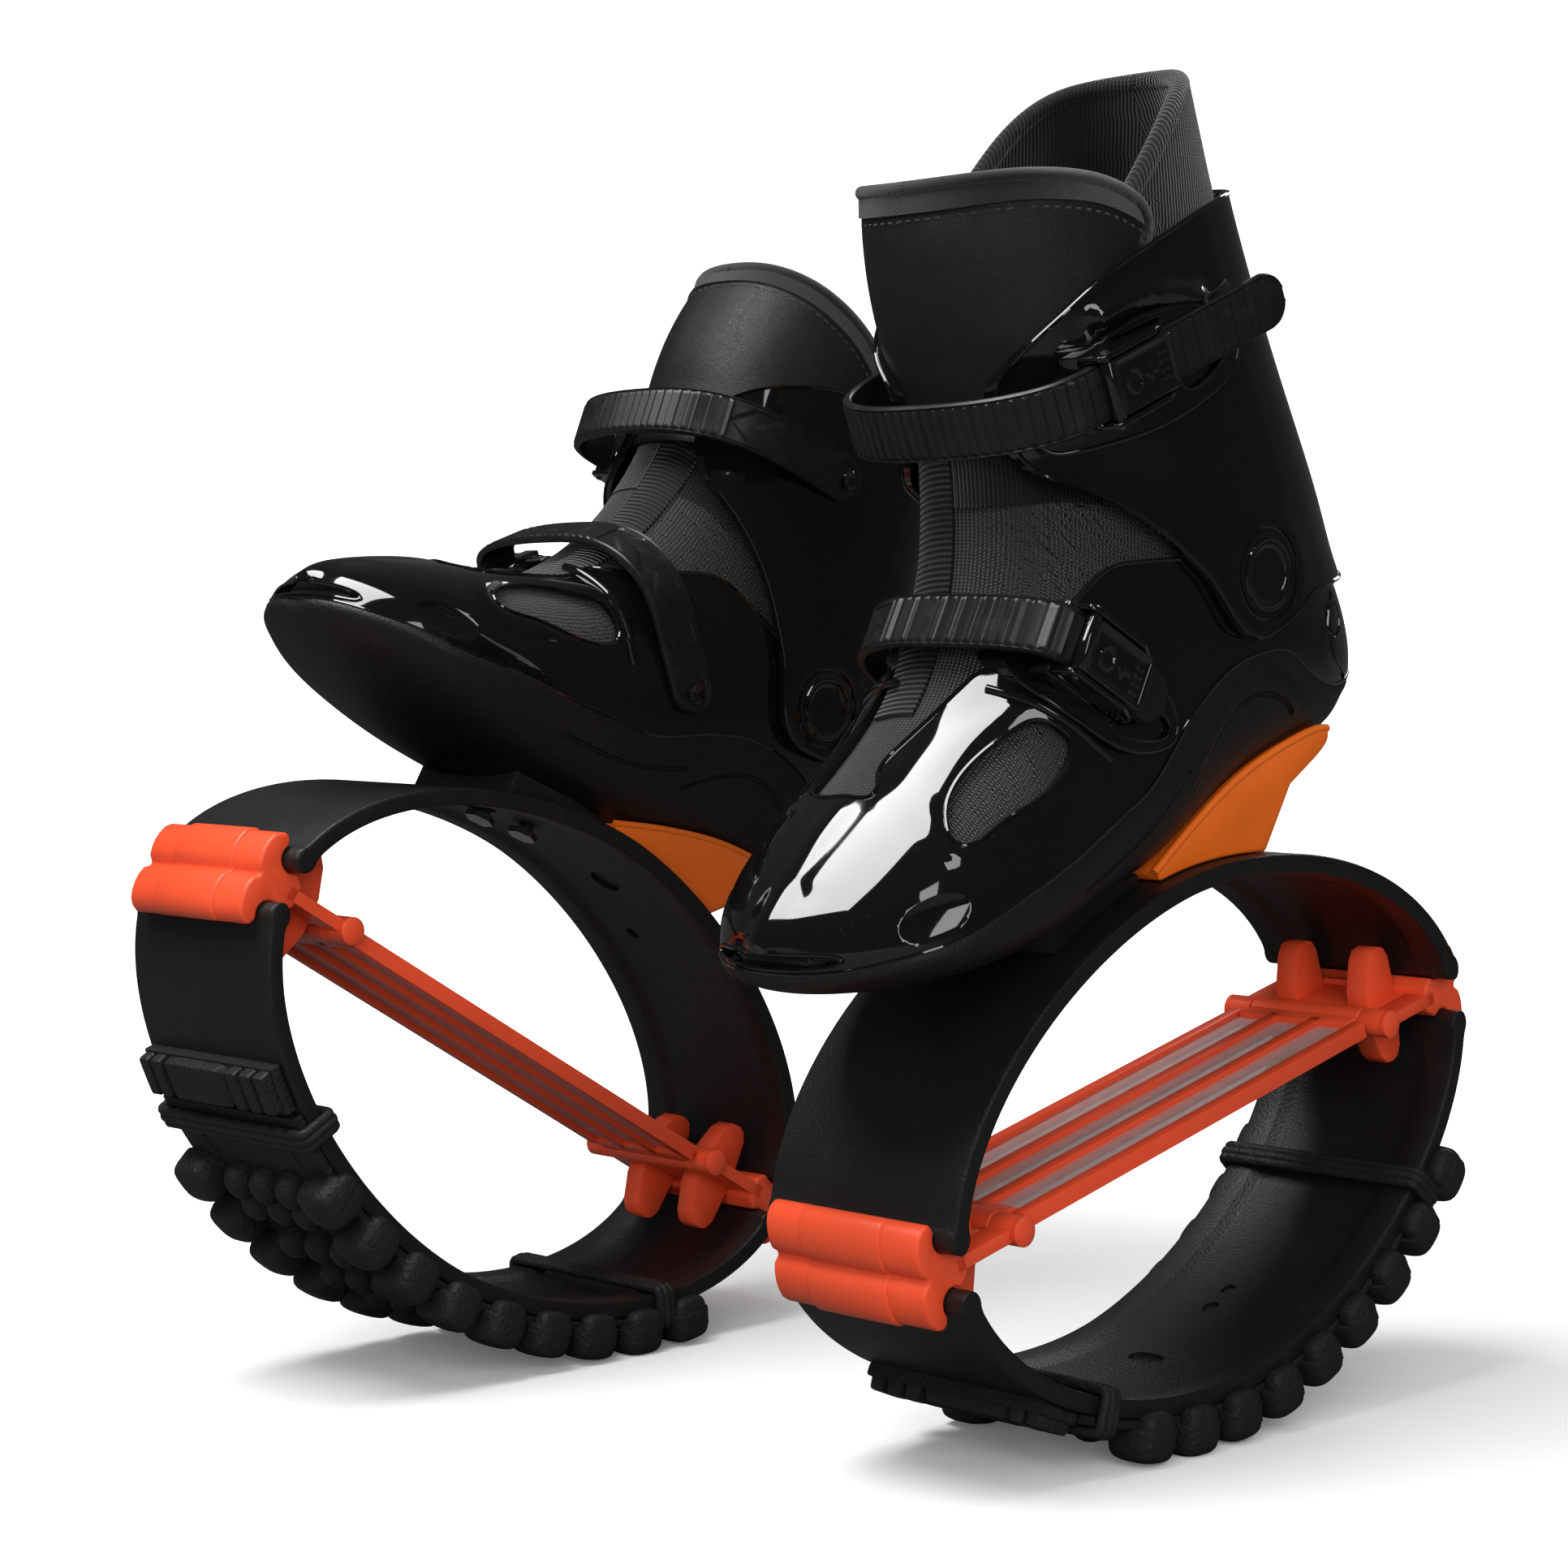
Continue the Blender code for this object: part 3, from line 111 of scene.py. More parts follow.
ARM_WIDTH = 0.0098
SPRING_HALF = 0.032
RIB_SIZE = (0.0032, 0.0026)
STRAP_WIDTH = 0.020
STRAP_THICKNESS = 0.0025
GAP = 0.0003

# Boot form: sole or heel end (length, height), top end (length, height), half width, widest place, power and
# floor of each cross row, from the toe to the top of the leg
FORM = np.array((
    (0.975, 0.056, 0.980, 0.096, 0.10, 0.42, 2.0, 0.5),
    (0.974, 0.038, 0.969, 0.117, 0.33, 0.38, 2.2, 0.5),
    (0.954, 0.023, 0.944, 0.142, 0.58, 0.36, 2.2, 0.8),
    (0.912, 0.009, 0.901, 0.177, 0.815, 0.32, 2.2, 1.0),
    (0.858, -0.004, 0.850, 0.213, 0.96, 0.28, 2.2, 1.0),
    (0.794, -0.013, 0.791, 0.243, 1.01, 0.28, 2.2, 1.0),
    (0.724, -0.018, 0.737, 0.277, 1.02, 0.30, 2.3, 1.0),
    (0.642, -0.014, 0.692, 0.313, 0.985, 0.33, 2.4, 1.0),
    (0.561, -0.003, 0.661, 0.356, 0.94, 0.35, 2.5, 1.0),
    (0.467, 0.007, 0.637, 0.401, 0.90, 0.38, 2.6, 1.0),
    (0.373, 0.042, 0.618, 0.449, 0.87, 0.42, 2.6, 1.3),
    (0.282, 0.065, 0.604, 0.502, 0.845, 0.45, 2.6, 2.0),
    (0.182, 0.066, 0.597, 0.550, 0.835, 0.47, 2.6, 2.6),
    (0.091, 0.068, 0.592, 0.597, 0.835, 0.50, 2.6, 2.6),
    (0.048, 0.127, 0.591, 0.642, 0.84, 0.50, 2.6, 0.6),
    (0.054, 0.216, 0.592, 0.679, 0.845, 0.50, 2.6, 0.0),
    (0.082, 0.305, 0.595, 0.716, 0.85, 0.50, 2.6, 0.0),
    (0.090, 0.396, 0.603, 0.750, 0.855, 0.50, 2.6, 0.0),
    (0.141, 0.594, 0.606, 0.824, 0.865, 0.50, 2.6, 0.0),
    (0.179, 0.801, 0.597, 0.898, 0.86, 0.50, 2.6, 0.0),
    (0.187, 0.894, 0.587, 0.935, 0.845, 0.50, 2.6, 0.0),
    (0.194, 1.015, 0.578, 1.015, 0.82, 0.50, 2.6, 0.0),
))
NOSE = np.array((1.0, 0.95, 0.8, 0.5, 0.25) + (0.0,) * 17)
LEG_ROW = 10

# Side view lines, as (length, height) shares of the boot
BOUNDARY = (
    (1.020, 0.060), (0.958, 0.058), (0.912, 0.063), (0.851, 0.066), (0.772, 0.085), (0.692, 0.099),
    (0.623, 0.116), (0.581, 0.128), (0.527, 0.139), (0.444, 0.203), (0.401, 0.227), (0.356, 0.245),
    (0.316, 0.249), (0.251, 0.241), (0.215, 0.194), (0.150, 0.150), (0.090, 0.146), (0.027, 0.164),
    (-0.030, 0.172),
)
SHELL_TOP = (
    (-0.030, 0.276), (0.090, 0.280), (0.127, 0.292), (0.168, 0.313), (0.189, 0.352), (0.197, 0.395),
    (0.256, 0.425), (0.303, 0.400), (0.339, 0.389), (0.421, 0.411), (0.477, 0.424), (0.518, 0.430),
    (0.580, 0.388), (0.630, 0.352), (0.668, 0.333), (0.700, 0.348), (0.760, 0.335), (1.020, 0.280),
)
WINDOW = (
    (0.642, 0.262), (0.660, 0.281), (0.688, 0.271), (0.720, 0.258), (0.759, 0.237), (0.798, 0.208),
    (0.819, 0.176), (0.810, 0.165), (0.789, 0.167), (0.758, 0.181), (0.700, 0.190), (0.664, 0.203),
    (0.628, 0.233),
)
VAMP = (
    (-0.0242, 0.813), (-0.0020, 0.828), (0.0110, 0.822), (0.0085, 0.802), (0.0020, 0.781), (0.0053, 0.743),
    (0.0121, 0.693), (0.0202, 0.664), (0.0160, 0.620), (0.0100, 0.550), (-0.0100, 0.550), (-0.0170, 0.620),
    (-0.0245, 0.680), (-0.0240, 0.712), (-0.0245, 0.780),
)
CUFF_FRONT = (
    (0.310, 0.271), (0.337, 0.283), (0.356, 0.312), (0.378, 0.368), (0.411, 0.411), (0.454, 0.466),
    (0.499, 0.507), (0.527, 0.530), (0.569, 0.561), (0.583, 0.603), (0.588, 0.678), (0.578, 0.707),
    (0.556, 0.738), (0.478, 0.794), (0.389, 0.820), (0.282, 0.847), (0.160, 0.845), (-0.050, 0.842),
)
CUFF_BACK = ((-0.050, 0.305), (0.107, 0.296), (0.208, 0.310), (0.247, 0.283), (0.310, 0.271))
COLLAR_BOTTOM = (
    (0.720, 0.545), (0.560, 0.526), (0.512, 0.510), (0.474, 0.490), (0.421, 0.462), (0.364, 0.437),
    (0.310, 0.415), (0.286, 0.437), (0.256, 0.445), (0.214, 0.431), (0.172, 0.395), (0.147, 0.352),
    (0.125, 0.325), (-0.050, 0.325),
)
COLLAR_TOP = (
    (-0.050, 1.006), (0.200, 1.003), (0.240, 0.997), (0.290, 0.966), (0.345, 0.918), (0.403, 0.865),
    (0.473, 0.798), (0.546, 0.735), (0.720, 0.705),
)
TONGUE = (
    (0.720, 0.609), (0.559, 0.612), (0.509, 0.694), (0.439, 0.770), (0.387, 0.832), (0.393, 0.866),
    (0.449, 0.905), (0.497, 0.923), (0.565, 0.939), (0.720, 0.939),
)
WEDGE_TOP = ((0.497, 0.013), (0.427, 0.050), (0.336, 0.087), (0.258, 0.101), (0.182, 0.105), (0.167, 0.098))
WEDGE_TAIL = ((0.170, 0.076), (0.248, 0.046))
WEDGE_HALF = 0.036
WEDGE_FOOT = (-0.052, 0.008)
SADDLE = (0.013, 0.062)
SADDLE_HALF = 0.030

# A clip's lobe and tab in the side view, as shares of their length and height
LOBE = (
    (0.74, 0.0), (0.80, 0.05), (0.93, 0.13), (0.99, 0.28), (1.0, 0.45), (0.965, 0.62), (0.88, 0.78),
    (0.74, 0.88), (0.56, 0.935), (0.40, 0.92), (0.36, 0.86),
)
TAB = (
    (1.0, 0.0), (0.96, 0.45), (0.92, 0.78), (0.80, 0.95), (0.62, 1.0), (0.40, 0.97), (0.24, 0.82),
    (0.03, 0.34), (0.0, 0.0),
)

# Recesses in the bows' inner faces: out, length forward of the crown, size, kind
UPPER_RECESSES = (
    (0, 0.049, 0.0068, "round"), (0, -0.025, 0.0068, "round"), (-0.014, 0.075, 0.0040, "round"),
    (0.012, -0.060, 0.0032, "round"), (0, 0.098, 0.0075, "square"),
)
LOWER_RECESSES = (
    (0.006, -0.030, 0.0034, "round"), (0.006, -0.042, 0.0030, "round"), (0.004, 0.012, 0.0075, "square"),
)

# Tread: ribs of its front block, as place across and width, then its layers over the bow
BLOCK_RIBS = ((-0.91, 0.006), (-0.72, 0.006), (-0.13, 0.038), (0.47, 0.007), (0.69, 0.007), (0.90, 0.006))
TREAD_INNER = BOW_THICKNESS + GAP
TREAD_BASE = 0.0034
STUD_PITCH = 0.02305
OVAL_SHIFT = 0.0115
STUD_SINK = 0.0022
WING_RISE = 0.0100
SIDE_STUD_OUT = 0.0402
WING_OUT = 0.0462
OVAL_PITCH = 0.0165
SIDE_RIB_OUT = 0.0285

# Sizes along, across and up of the tread's studs, and the cords round its ends as shift and radius
SIDE_STUD = (0.0212, 0.0225, 0.0134)
OVAL_STUD = (0.0178, 0.0136, 0.0112)
WING = (0.0178, 0.0092, 0.0136)
BLOCK_RIB = (0.0180, 0.0108, 0.0090)
CORDS = ((-0.0028, 0.0019), (0.0, 0.0023), (0.0028, 0.0019))

# Layers outside (+) or inside (-) the form
SHELL_WALL = 0.003
FLOOR_RISE = 0.008
LINER_SKIN = -0.0033
LINER_WALL = 0.005
CUFF_CLEARANCE = 0.0015
CUFF_SKIN = 0.0045
TONGUE_SKIN = 0.0012
TONGUE_THICKNESS = 0.0032
COLLAR_WALL = 0.0062
RIBBON_HALF = 0.0095
RIBBON_MIDDLE = -0.0115

# Straps: apex shares, slope, reach of the turn to the outer and the inner side, buckle start, ends
STRAPS = {
    "lower": ((0.658, 0.402), 41.0, 0.0115, 0.040, 0.012, 0.066, 0.077),
    "upper": ((0.637, 0.637), -8.0, 0.030, 0.050, 0.032, 0.140, 0.083),
}

STRAP_POWER = 2.6
STRAP_TIP = 0.010
SMOOTH_END = {"lower": -0.022, "upper": -0.045}

# Buckle base: half width outside and inside, floor, height and length, then the lever
BUCKLE = (0.01287, 0.01067, 0.0024, 0.0104, 0.040)
LEVER_LENGTH = 0.034
LEVER_WIDTH = 0.0208
LEVER_THICKNESS = 0.0030
LEVER_PLACE = (0.0042, 0, 0.0065)
BARREL_PLACE = (0.0042, 0, 0.0081)

# Raised and sunk shapes in the side view, in metres (fwd, up)
LOWER_LEAF = (
    (0.050, 0.200), (0.040, 0.203), (0.0174, 0.181), (0.004, 0.160), (0.0014, 0.1486), (0.008, 0.1425),
    (0.033, 0.1475), (0.052, 0.164), (0.067, 0.185),
)
LOWER_LEAF_DISH = (
    (0.028, 0.162), (0.012, 0.158), (0.0055, 0.150), (0.010, 0.1455), (0.030, 0.151), (0.042, 0.160),
)
UPPER_LEAF = (
    (0.022, 0.2818), (-0.0123, 0.293), (-0.050, 0.286), (-0.0591, 0.2736), (-0.052, 0.262), (-0.0138, 0.252),
    (0.020, 0.2505), (0.036, 0.2511), (0.030, 0.270),
)
UPPER_LEAF_DISH = ((-0.018, 0.2860), (-0.046, 0.2825), (-0.0535, 0.2738), (-0.040, 0.2640), (-0.020, 0.2590))
CRESCENT = ((0.0084, 0.2935), (-0.0039, 0.2975), (-0.0179, 0.2970), (-0.0390, 0.2915))
OVAL_PLACE = (0.1335, 0.1205)
OVAL_SIZE = (0.0185, 0.0078, 0.0026)
OVAL_INNER = (0.0105, 0.0046, 0.0024)
FIN = ((0.0683, 0.1795), (0.0632, 0.1740), (0.0561, 0.1660), (0.0480, 0.1560), (0.0399, 0.1475))
TOE_SLOT = ((0.1590, 0.1132), (0.1620, 0.1110), (0.1900, 0.1100), (0.1900, 0.1180), (0.1620, 0.1160))
HEEL_PLATE = (
    (-0.140, 0.131), (-0.117, 0.134), (-0.1018, 0.146), (-0.099, 0.158), (-0.108, 0.170), (-0.140, 0.174),
)
HEEL_SCREW = (-0.106, 0.160)
SCREW_RADIUS = 0.0062
PIVOT_GROOVE = 0.0166
FIN_RADIUS = 0.0016
GUIDE_RADIUS = 0.0018
GUIDES = ((0.004, 0.004), (-0.020, 0.012))
LEAF_RISE = 0.0030
DISH_DEPTH = 0.0017
PAD_LENGTH = (-0.0008, 0.0412)
PAD_HALF = 0.0136
REACH = 0.075
SOLE_CREASE = ((0.0656, 0.1080), (0.0551, 0.1100), (0.0270, 0.1152), (0.0054, 0.1245), (-0.0044, 0.1301))
SOLE_SWEEP = (
    (-0.007, 0.1223), (-0.0183, 0.1335), (-0.0325, 0.1430), (-0.0489, 0.1470), (-0.0654, 0.1415),
    (-0.0761, 0.1310),
)
TOE_CHEEK = ((0.152, 0.139), (0.130, 0.158), (0.104, 0.172), (0.080, 0.184))

# Stage: camera, floor, and lamps as name, place, target, width, height, power, mirrored in gloss
CAMERA_PLACE = (0.9167, -0.9107, 0.3006)
CAMERA_WAY = (-0.7150, 0.6970, -0.0522)
CAMERA_LENS = 76.97
FLOOR_SPAN = (-6.0, 1.6)
BACKDROP_RADIUS = 1.2
BACKDROP_HEIGHT = 6.0
BACKDROP_HALF_WIDTH = 7.0
BACKDROP_TURN = 45.7
WORLD_STRENGTH = (0.5, 0.03)
LAMPS = (
    ("panel", (-0.20, -0.81, 1.75), (-0.20, -0.81, 0.0), 1.10, 1.28, 36, True),
    ("key", (2.3, -0.6, 1.3), (0.1, 0, 0.25), 0.5, 1.6, 8, True),
    ("rim", (-0.6, 2.1, 1.4), (0, 0, 0.3), 1.0, 1.0, 9, True),
    ("fill", (1.7, -1.9, 0.9), (0, 0, 0.2), 2.0, 1.6, 36, False),
)


# User settings
def length_setting(name, description, default):
    """A length that a user would change."""
    return FloatProperty(name=name, description=description, default=default, unit="LENGTH")


def count_setting(name, description, default, low, high):
    """A number that a user would change."""
    return IntProperty(name=name, description=description, default=default, min=low, max=high)


def colour_setting(name, description, *default):
    """A colour that a user would change."""
    return FloatVectorProperty(name=name, description=description, subtype="COLOR", default=default)


class BootSizes(bpy.types.PropertyGroup):
    """Sizes that a user would change."""

    rim: length_setting("Rim", "Radius of the rounded edge of shell and cuff", 0.0008)
    tooth_pitch: length_setting("Tooth pitch", "Step between the strap's teeth", 0.0043)
    tooth_height: length_setting("Tooth height", "Height of the strap's teeth", 0.0010)
    ridge: length_setting("Toe ridge", "Height of the ridge down the toe", 0.0016)
    ring_steps: count_setting("Ring steps", "Steps along each bow", 150, 40, 400)
    round_sides: count_setting("Round sides", "Sides of turned pieces", 56, 12, 128)


class BootColours(bpy.types.PropertyGroup):
    """Colours that a user would change."""

    shell: colour_setting("Shell", "Gloss shell and cuff", 0.0035, 0.0035, 0.0038)
    matte: colour_setting("Matte plastic", "Sole and bows", 0.0075, 0.0075, 0.0078)
    rubber: colour_setting("Rubber", "Tread and straps", 0.0085, 0.0085, 0.0088)
    fabric: colour_setting("Fabric", "Liner", 0.0024, 0.0024, 0.0026)
    leather: colour_setting("Leather", "Tongue and collar", 0.0058, 0.0058, 0.0060)
    spring: colour_setting("Spring", "Clips and tension spring", 0.85, 0.085, 0.028)
    wedge: colour_setting("Wedge", "Wedge under the heel", 0.88, 0.155, 0.010)
    film: colour_setting("Spring web", "Thin webs of the tension spring", 0.60, 0.40, 0.38)
    stage: colour_setting("Stage", "Floor and backdrop, as they light the pair", 0.09, 0.09, 0.09)


def sizes():
    """The user's sizes."""
    return bpy.context.scene.boot_sizes


def colours():
    """The user's colours."""
    return bpy.context.scene.boot_colours


# Finishes
def math_method(operation, swapped=False):
    """Method that puts a value and another through a Math node."""
    def method(self, other):
        return self.maths(operation, *((other, self) if swapped else (self, other)))
    return method


class Value:
    """A socket of a finish, with the arithmetic that finishes use."""

    __add__, __radd__ = math_method("ADD"), math_method("ADD", swapped=True)
    __sub__, __rsub__ = math_method("SUBTRACT"), math_method("SUBTRACT", swapped=True)
    __mul__, __pow__ = math_method("MULTIPLY"), math_method("POWER")

    def __init__(self, finish, socket):
        self.finish = finish
        self.socket = socket

    def maths(self, operation, *values):
        """Value of a Math node."""
        return self.finish.node("ShaderNodeMath", {"operation": operation}, dict(enumerate(values)))

    def wave(self):
        """Sine of the value."""
        return self.maths("SINE", self)

    def ribs(self, pitch):
        """Wave from 0 to 1 and back, once a pitch."""
        return (self * (2 * math.pi / pitch)).wave() * 0.5 + 0.5

    def step(self, low, high):
        """0 below one limit and 1 above the other, smooth between."""
        links = {"Value": self, "From Min": low, "From Max": high}
        return self.finish.node("ShaderNodeMapRange", {"interpolation_type": "SMOOTHSTEP"}, links)


class Finish:
    """A material and the nodes that make it."""

    def __init__(self, name):
        self.material = bpy.data.materials.new(name)
        self.material.use_nodes = True
        self.tree = self.material.node_tree
        self.shader = self.tree.nodes["Principled BSDF"]
        self.place = self.node("ShaderNodeTexCoord", {}, {}, "Object")

    def node(self, kind, settings, links, output=0):
        """A node's output, from its type, its settings, and the values or links of its sockets."""
        node = self.tree.nodes.new(kind)
        for key, value in settings.items():
            setattr(node, key, value)
        for key, value in links.items():
            self.link(node.inputs[key], value)
        return Value(self, node.outputs[output])

    def link(self, socket, value):
        """Set a socket, or link it."""
        if isinstance(value, Value):
            self.tree.links.new(value.socket, socket)
        elif socket.type == "RGBA" and len(value) == 3:
            socket.default_value = (*value, 1.0)
        else:
            socket.default_value = value

    def weave(self):
        """A piece's own pattern coordinates, along the form and round it."""
        return self.parts(self.node("ShaderNodeAttribute", {"attribute_name": "weave"}, {}, "Vector"))[:2]

    def parts(self, vector):
        """The three parts of a vector."""
        node = self.tree.nodes.new("ShaderNodeSeparateXYZ")
        self.link(node.inputs[0], vector)
        return [Value(self, node.outputs[i]) for i in range(3)]

    def noise(self, scale, detail=2.0, roughness=0.5):
        """Soft random pattern from 0 to 1."""
        links = {"Vector": self.place, "Scale": scale, "Detail": detail, "Roughness": roughness}
        return self.node("ShaderNodeTexNoise", {}, links, "Fac")

    def cells(self, scale, feature="F1"):
        """Distance pattern of cells."""
        links = {"Vector": self.place, "Scale": scale}
        return self.node("ShaderNodeTexVoronoi", {"feature": feature}, links, "Distance")

    def blend(self, mask, low, high):
        """Colour between two, by a mask."""
        node = self.tree.nodes.new("ShaderNodeMix")
        node.data_type = "RGBA"
        for index, value in ((0, mask), (6, low), (7, high)):
            self.link(node.inputs[index], value)
        return Value(self, node.outputs[2])

    def bump(self, height, distance, strength, normal=None):
        """Normal from a height."""
        links = {"Height": height, "Distance": distance, "Strength": strength}
        if normal:
            links["Normal"] = normal
        return self.node("ShaderNodeBump", {}, links)

    def done(self, **sockets):
        """Set the shader's sockets by their names, and return the material."""
        for key, value in sockets.items():
            self.link(self.shader.inputs[key.replace("_", " ")], value)
        return self.material


def shade(colour, share):
    """A colour scaled."""
    return tuple(channel * share for channel in colour)


def gloss_black():
    """Polished moulded plastic with a faint wave and dust."""
    finish = Finish("gloss_black")
    dust = finish.noise(420.0, 4.0).step(0.60, 0.80)
    smear = finish.noise(18.0, 3.0).step(0.35, 0.75)
    colour = finish.blend(dust * 0.10, colours().shell, (0.05, 0.05, 0.052))
    normal = finish.bump(finish.noise(26.0, 1.0), 0.0007, 0.25)
    return finish.done(Base_Color=colour, Roughness=0.045 + smear * 0.04 + dust * 0.05, IOR=1.5,
                       Normal=normal, Coat_Weight=1.0, Coat_Roughness=0.02)


def matte_black():
    """Grained moulded plastic."""
    finish = Finish("matte_black")
    grain = finish.cells(900.0) * 0.7 + finish.noise(1500.0, 2.0) * 0.3
    scuff = finish.noise(60.0, 5.0, roughness=0.65).step(0.52, 0.78)
    colour = finish.blend(scuff * 0.5, colours().matte, shade(colours().matte, 1.9))
    return finish.done(Base_Color=colour, Roughness=0.40 + finish.noise(35.0) * 0.16, IOR=1.5,
                       Normal=finish.bump(grain, 0.00035, 0.55))


def tread_rubber():
    """Pebbled rubber."""
    finish = Finish("tread_rubber")
    pebble = finish.cells(620.0, "SMOOTH_F1")
    colour = finish.blend(finish.noise(90.0, 4.0), colours().rubber, shade(colours().rubber, 1.7))
    return finish.done(Base_Color=colour, Roughness=0.50 + finish.noise(50.0) * 0.18,
                       Normal=finish.bump(pebble, 0.0007, 0.7))


def strap_rubber():
    """Smooth satin rubber with fine scratches."""
    finish = Finish("strap_rubber")
    fine = finish.noise(900.0, 2.0)
    wear = finish.noise(120.0, 5.0).step(0.5, 0.8)
    colour = finish.blend(wear * 0.5, colours().rubber, shade(colours().rubber, 2.0))
    return finish.done(Base_Color=colour, Roughness=0.34 + wear * 0.16, Normal=finish.bump(fine, 0.0001, 0.4))


def air_mesh():
    """Spacer mesh with oval cells, with painted shade darkening the cells."""
    finish = Finish("air_mesh")
    along, round_ = finish.weave()
    turn = 2 * math.pi
    first = (along * (turn / 0.0024) + round_ * (turn / 0.0036)).wave()
    second = (along * (turn / 0.0024) - round_ * (turn / 0.0036)).wave()
    hole = (first * second).step(0.05, 0.75)
    yarn = finish.noise(2600.0, 2.0)
    # painted shade: the sunk cells are coloured far darker than the yarn between them
    colour = finish.blend(hole, shade(colours().fabric, 5.0), shade(colours().fabric, 0.2))
    return finish.done(Base_Color=colour, Roughness=0.85, Sheen_Weight=0.25, Sheen_Roughness=0.4,
                       Normal=finish.bump(1.0 - hole + yarn * 0.15, 0.0009, 0.9))


def ribbon():
    """Ribbed ribbon, its ribs across its length, with painted shade in the grooves and painted light on the
    crests.
    """
    finish = Finish("ribbon")
    along, round_ = finish.weave()
    rib, cross = along.ribs(0.0021), round_.ribs(0.0011)
    # painted shade and light: the colour follows the rib height, dark in the grooves, light on the crests
    tone = finish.blend(rib, shade(colours().fabric, 0.55), shade(colours().fabric, 1.7))
    return finish.done(Base_Color=tone, Roughness=0.8, Sheen_Weight=0.3, Sheen_Roughness=0.35,
                       Normal=finish.bump(rib + cross * 0.12 + finish.noise(1800.0) * 0.2, 0.0006, 0.8))


def knit_lining():
    """Knitted lining of the collar, with painted shade where the knit dips."""
    finish = Finish("knit_lining")
    along, round_ = finish.weave()
    rib, knit = round_.ribs(0.0017), along.ribs(0.0013)
    # painted shade: darker where the knit's height dips, lighter on its raised loops
    tone = finish.blend(rib * knit, shade(colours().fabric, 0.7), shade(colours().fabric, 1.9))
    return finish.done(Base_Color=tone, Roughness=0.9, Sheen_Weight=0.35, Sheen_Roughness=0.4,
                       Normal=finish.bump(rib * 0.7 + knit * 0.3, 0.0005, 0.8))


def leather():
    """Smooth grained leather."""
    finish = Finish("grained_leather")
    grain = finish.cells(1500.0, "DISTANCE_TO_EDGE") * 2.0 + finish.noise(3000.0, 2.0) * 0.3
    folds = finish.noise(45.0, 3.0)
    colour = finish.blend(finish.noise(70.0, 4.0), colours().leather, shade(colours().leather, 1.9))
    normal = finish.bump(grain, 0.00022, 0.55, finish.bump(folds, 0.002, 0.25))
    return finish.done(Base_Color=colour, Roughness=0.36 + finish.noise(140.0, 3.0) * 0.16, Normal=normal)


def thread():
    """Sewing thread and twill binding, with painted shade in the twill's grooves."""
    finish = Finish("sewing_thread")
    along, round_ = finish.weave()
    twill = (along + round_).ribs(0.0012)
    # painted shade: darker in the twill's grooves, where its bump is low
    tone = finish.blend(twill, shade(colours().fabric, 0.6), shade(colours().fabric, 2.2))
    return finish.done(Base_Color=tone, Roughness=0.8, Sheen_Weight=0.3,
                       Normal=finish.bump(twill + finish.noise(2500.0) * 0.3, 0.0003, 0.8))


def orange(name, colour, roughness):
    """Moulded translucent-looking orange plastic."""
    finish = Finish(name)
    flow = finish.noise(30.0, 3.0)
    tone = finish.blend(flow, shade(colour, 0.86), shade(colour, 1.06))
    normal = finish.bump(finish.noise(700.0, 2.0), 0.0001, 0.4, finish.bump(finish.noise(40.0), 0.0008, 0.2))
    return finish.done(Base_Color=tone, Roughness=roughness + finish.noise(60.0) * 0.10, Normal=normal,
                       Subsurface_Weight=0.12, Subsurface_Radius=(0.006, 0.002, 0.001), Subsurface_Scale=1.0)


def film():
    """Thin pale web of the tension spring."""
    finish = Finish("spring_web")
    streak = finish.noise(160.0, 3.0)
    tone = finish.blend(streak, shade(colours().film, 0.8), shade(colours().film, 1.15))
    return finish.done(Base_Color=tone, Roughness=0.14 + streak * 0.08, Alpha=0.80,
                       Normal=finish.bump(finish.noise(90.0), 0.0006, 0.3))


def steel():
    """Brushed steel."""
    finish = Finish("steel")
    brush = finish.noise(1400.0, 3.0)
    return finish.done(Base_Color=finish.blend(brush, (0.35, 0.35, 0.36), (0.55, 0.55, 0.56)), Metallic=1.0,
                       Roughness=0.25 + brush * 0.15, Normal=finish.bump(brush, 0.00008, 0.4))


def stage_white():
    """Floor and backdrop: dim to the pair, white to the camera but for the pair's shadow."""
    finish = Finish("stage_white")
    fleck = finish.noise(3.0, 2.0)
    tone = finish.blend(fleck * 0.02, colours().stage, shade(colours().stage, 0.98))
    across, along, _ = finish.parts(finish.place)
    far = ((across * across + along * along) ** 0.5).step(0.30, 0.80)
    seen = finish.node("ShaderNodeLightPath", {}, {}, 0)
    glow = finish.node("ShaderNodeEmission", {}, {"Color": finish.blend(far, (0.06, 0.06, 0.06), (1, 1, 1))})
    pale = finish.node("ShaderNodeBsdfDiffuse", {}, {"Color": (0.96, 0.96, 0.96)})
    bright = finish.node("ShaderNodeAddShader", {}, {0: glow, 1: pale})
    plain = Value(finish, finish.shader.outputs[0])
    mix = finish.node("ShaderNodeMixShader", {}, {0: seen, 1: plain, 2: bright})
    finish.tree.links.new(mix.socket, finish.tree.nodes["Material Output"].inputs["Surface"])
    return finish.done(Base_Color=tone, Roughness=0.9)


FINISHES = {
    "gloss_black": gloss_black,
    "matte_black": matte_black,
    "tread_rubber": tread_rubber,
    "strap_rubber": strap_rubber,
    "air_mesh": air_mesh,
    "ribbon": ribbon,
    "knit_lining": knit_lining,
    "leather": leather,
    "thread": thread,
    "spring_orange": lambda: orange("spring_orange", colours().spring, 0.30),
    "wedge_orange": lambda: orange("wedge_orange", colours().wedge, 0.34),
    "film": film,
    "steel": steel,
    "stage_white": stage_white,
}
made_finishes = {}


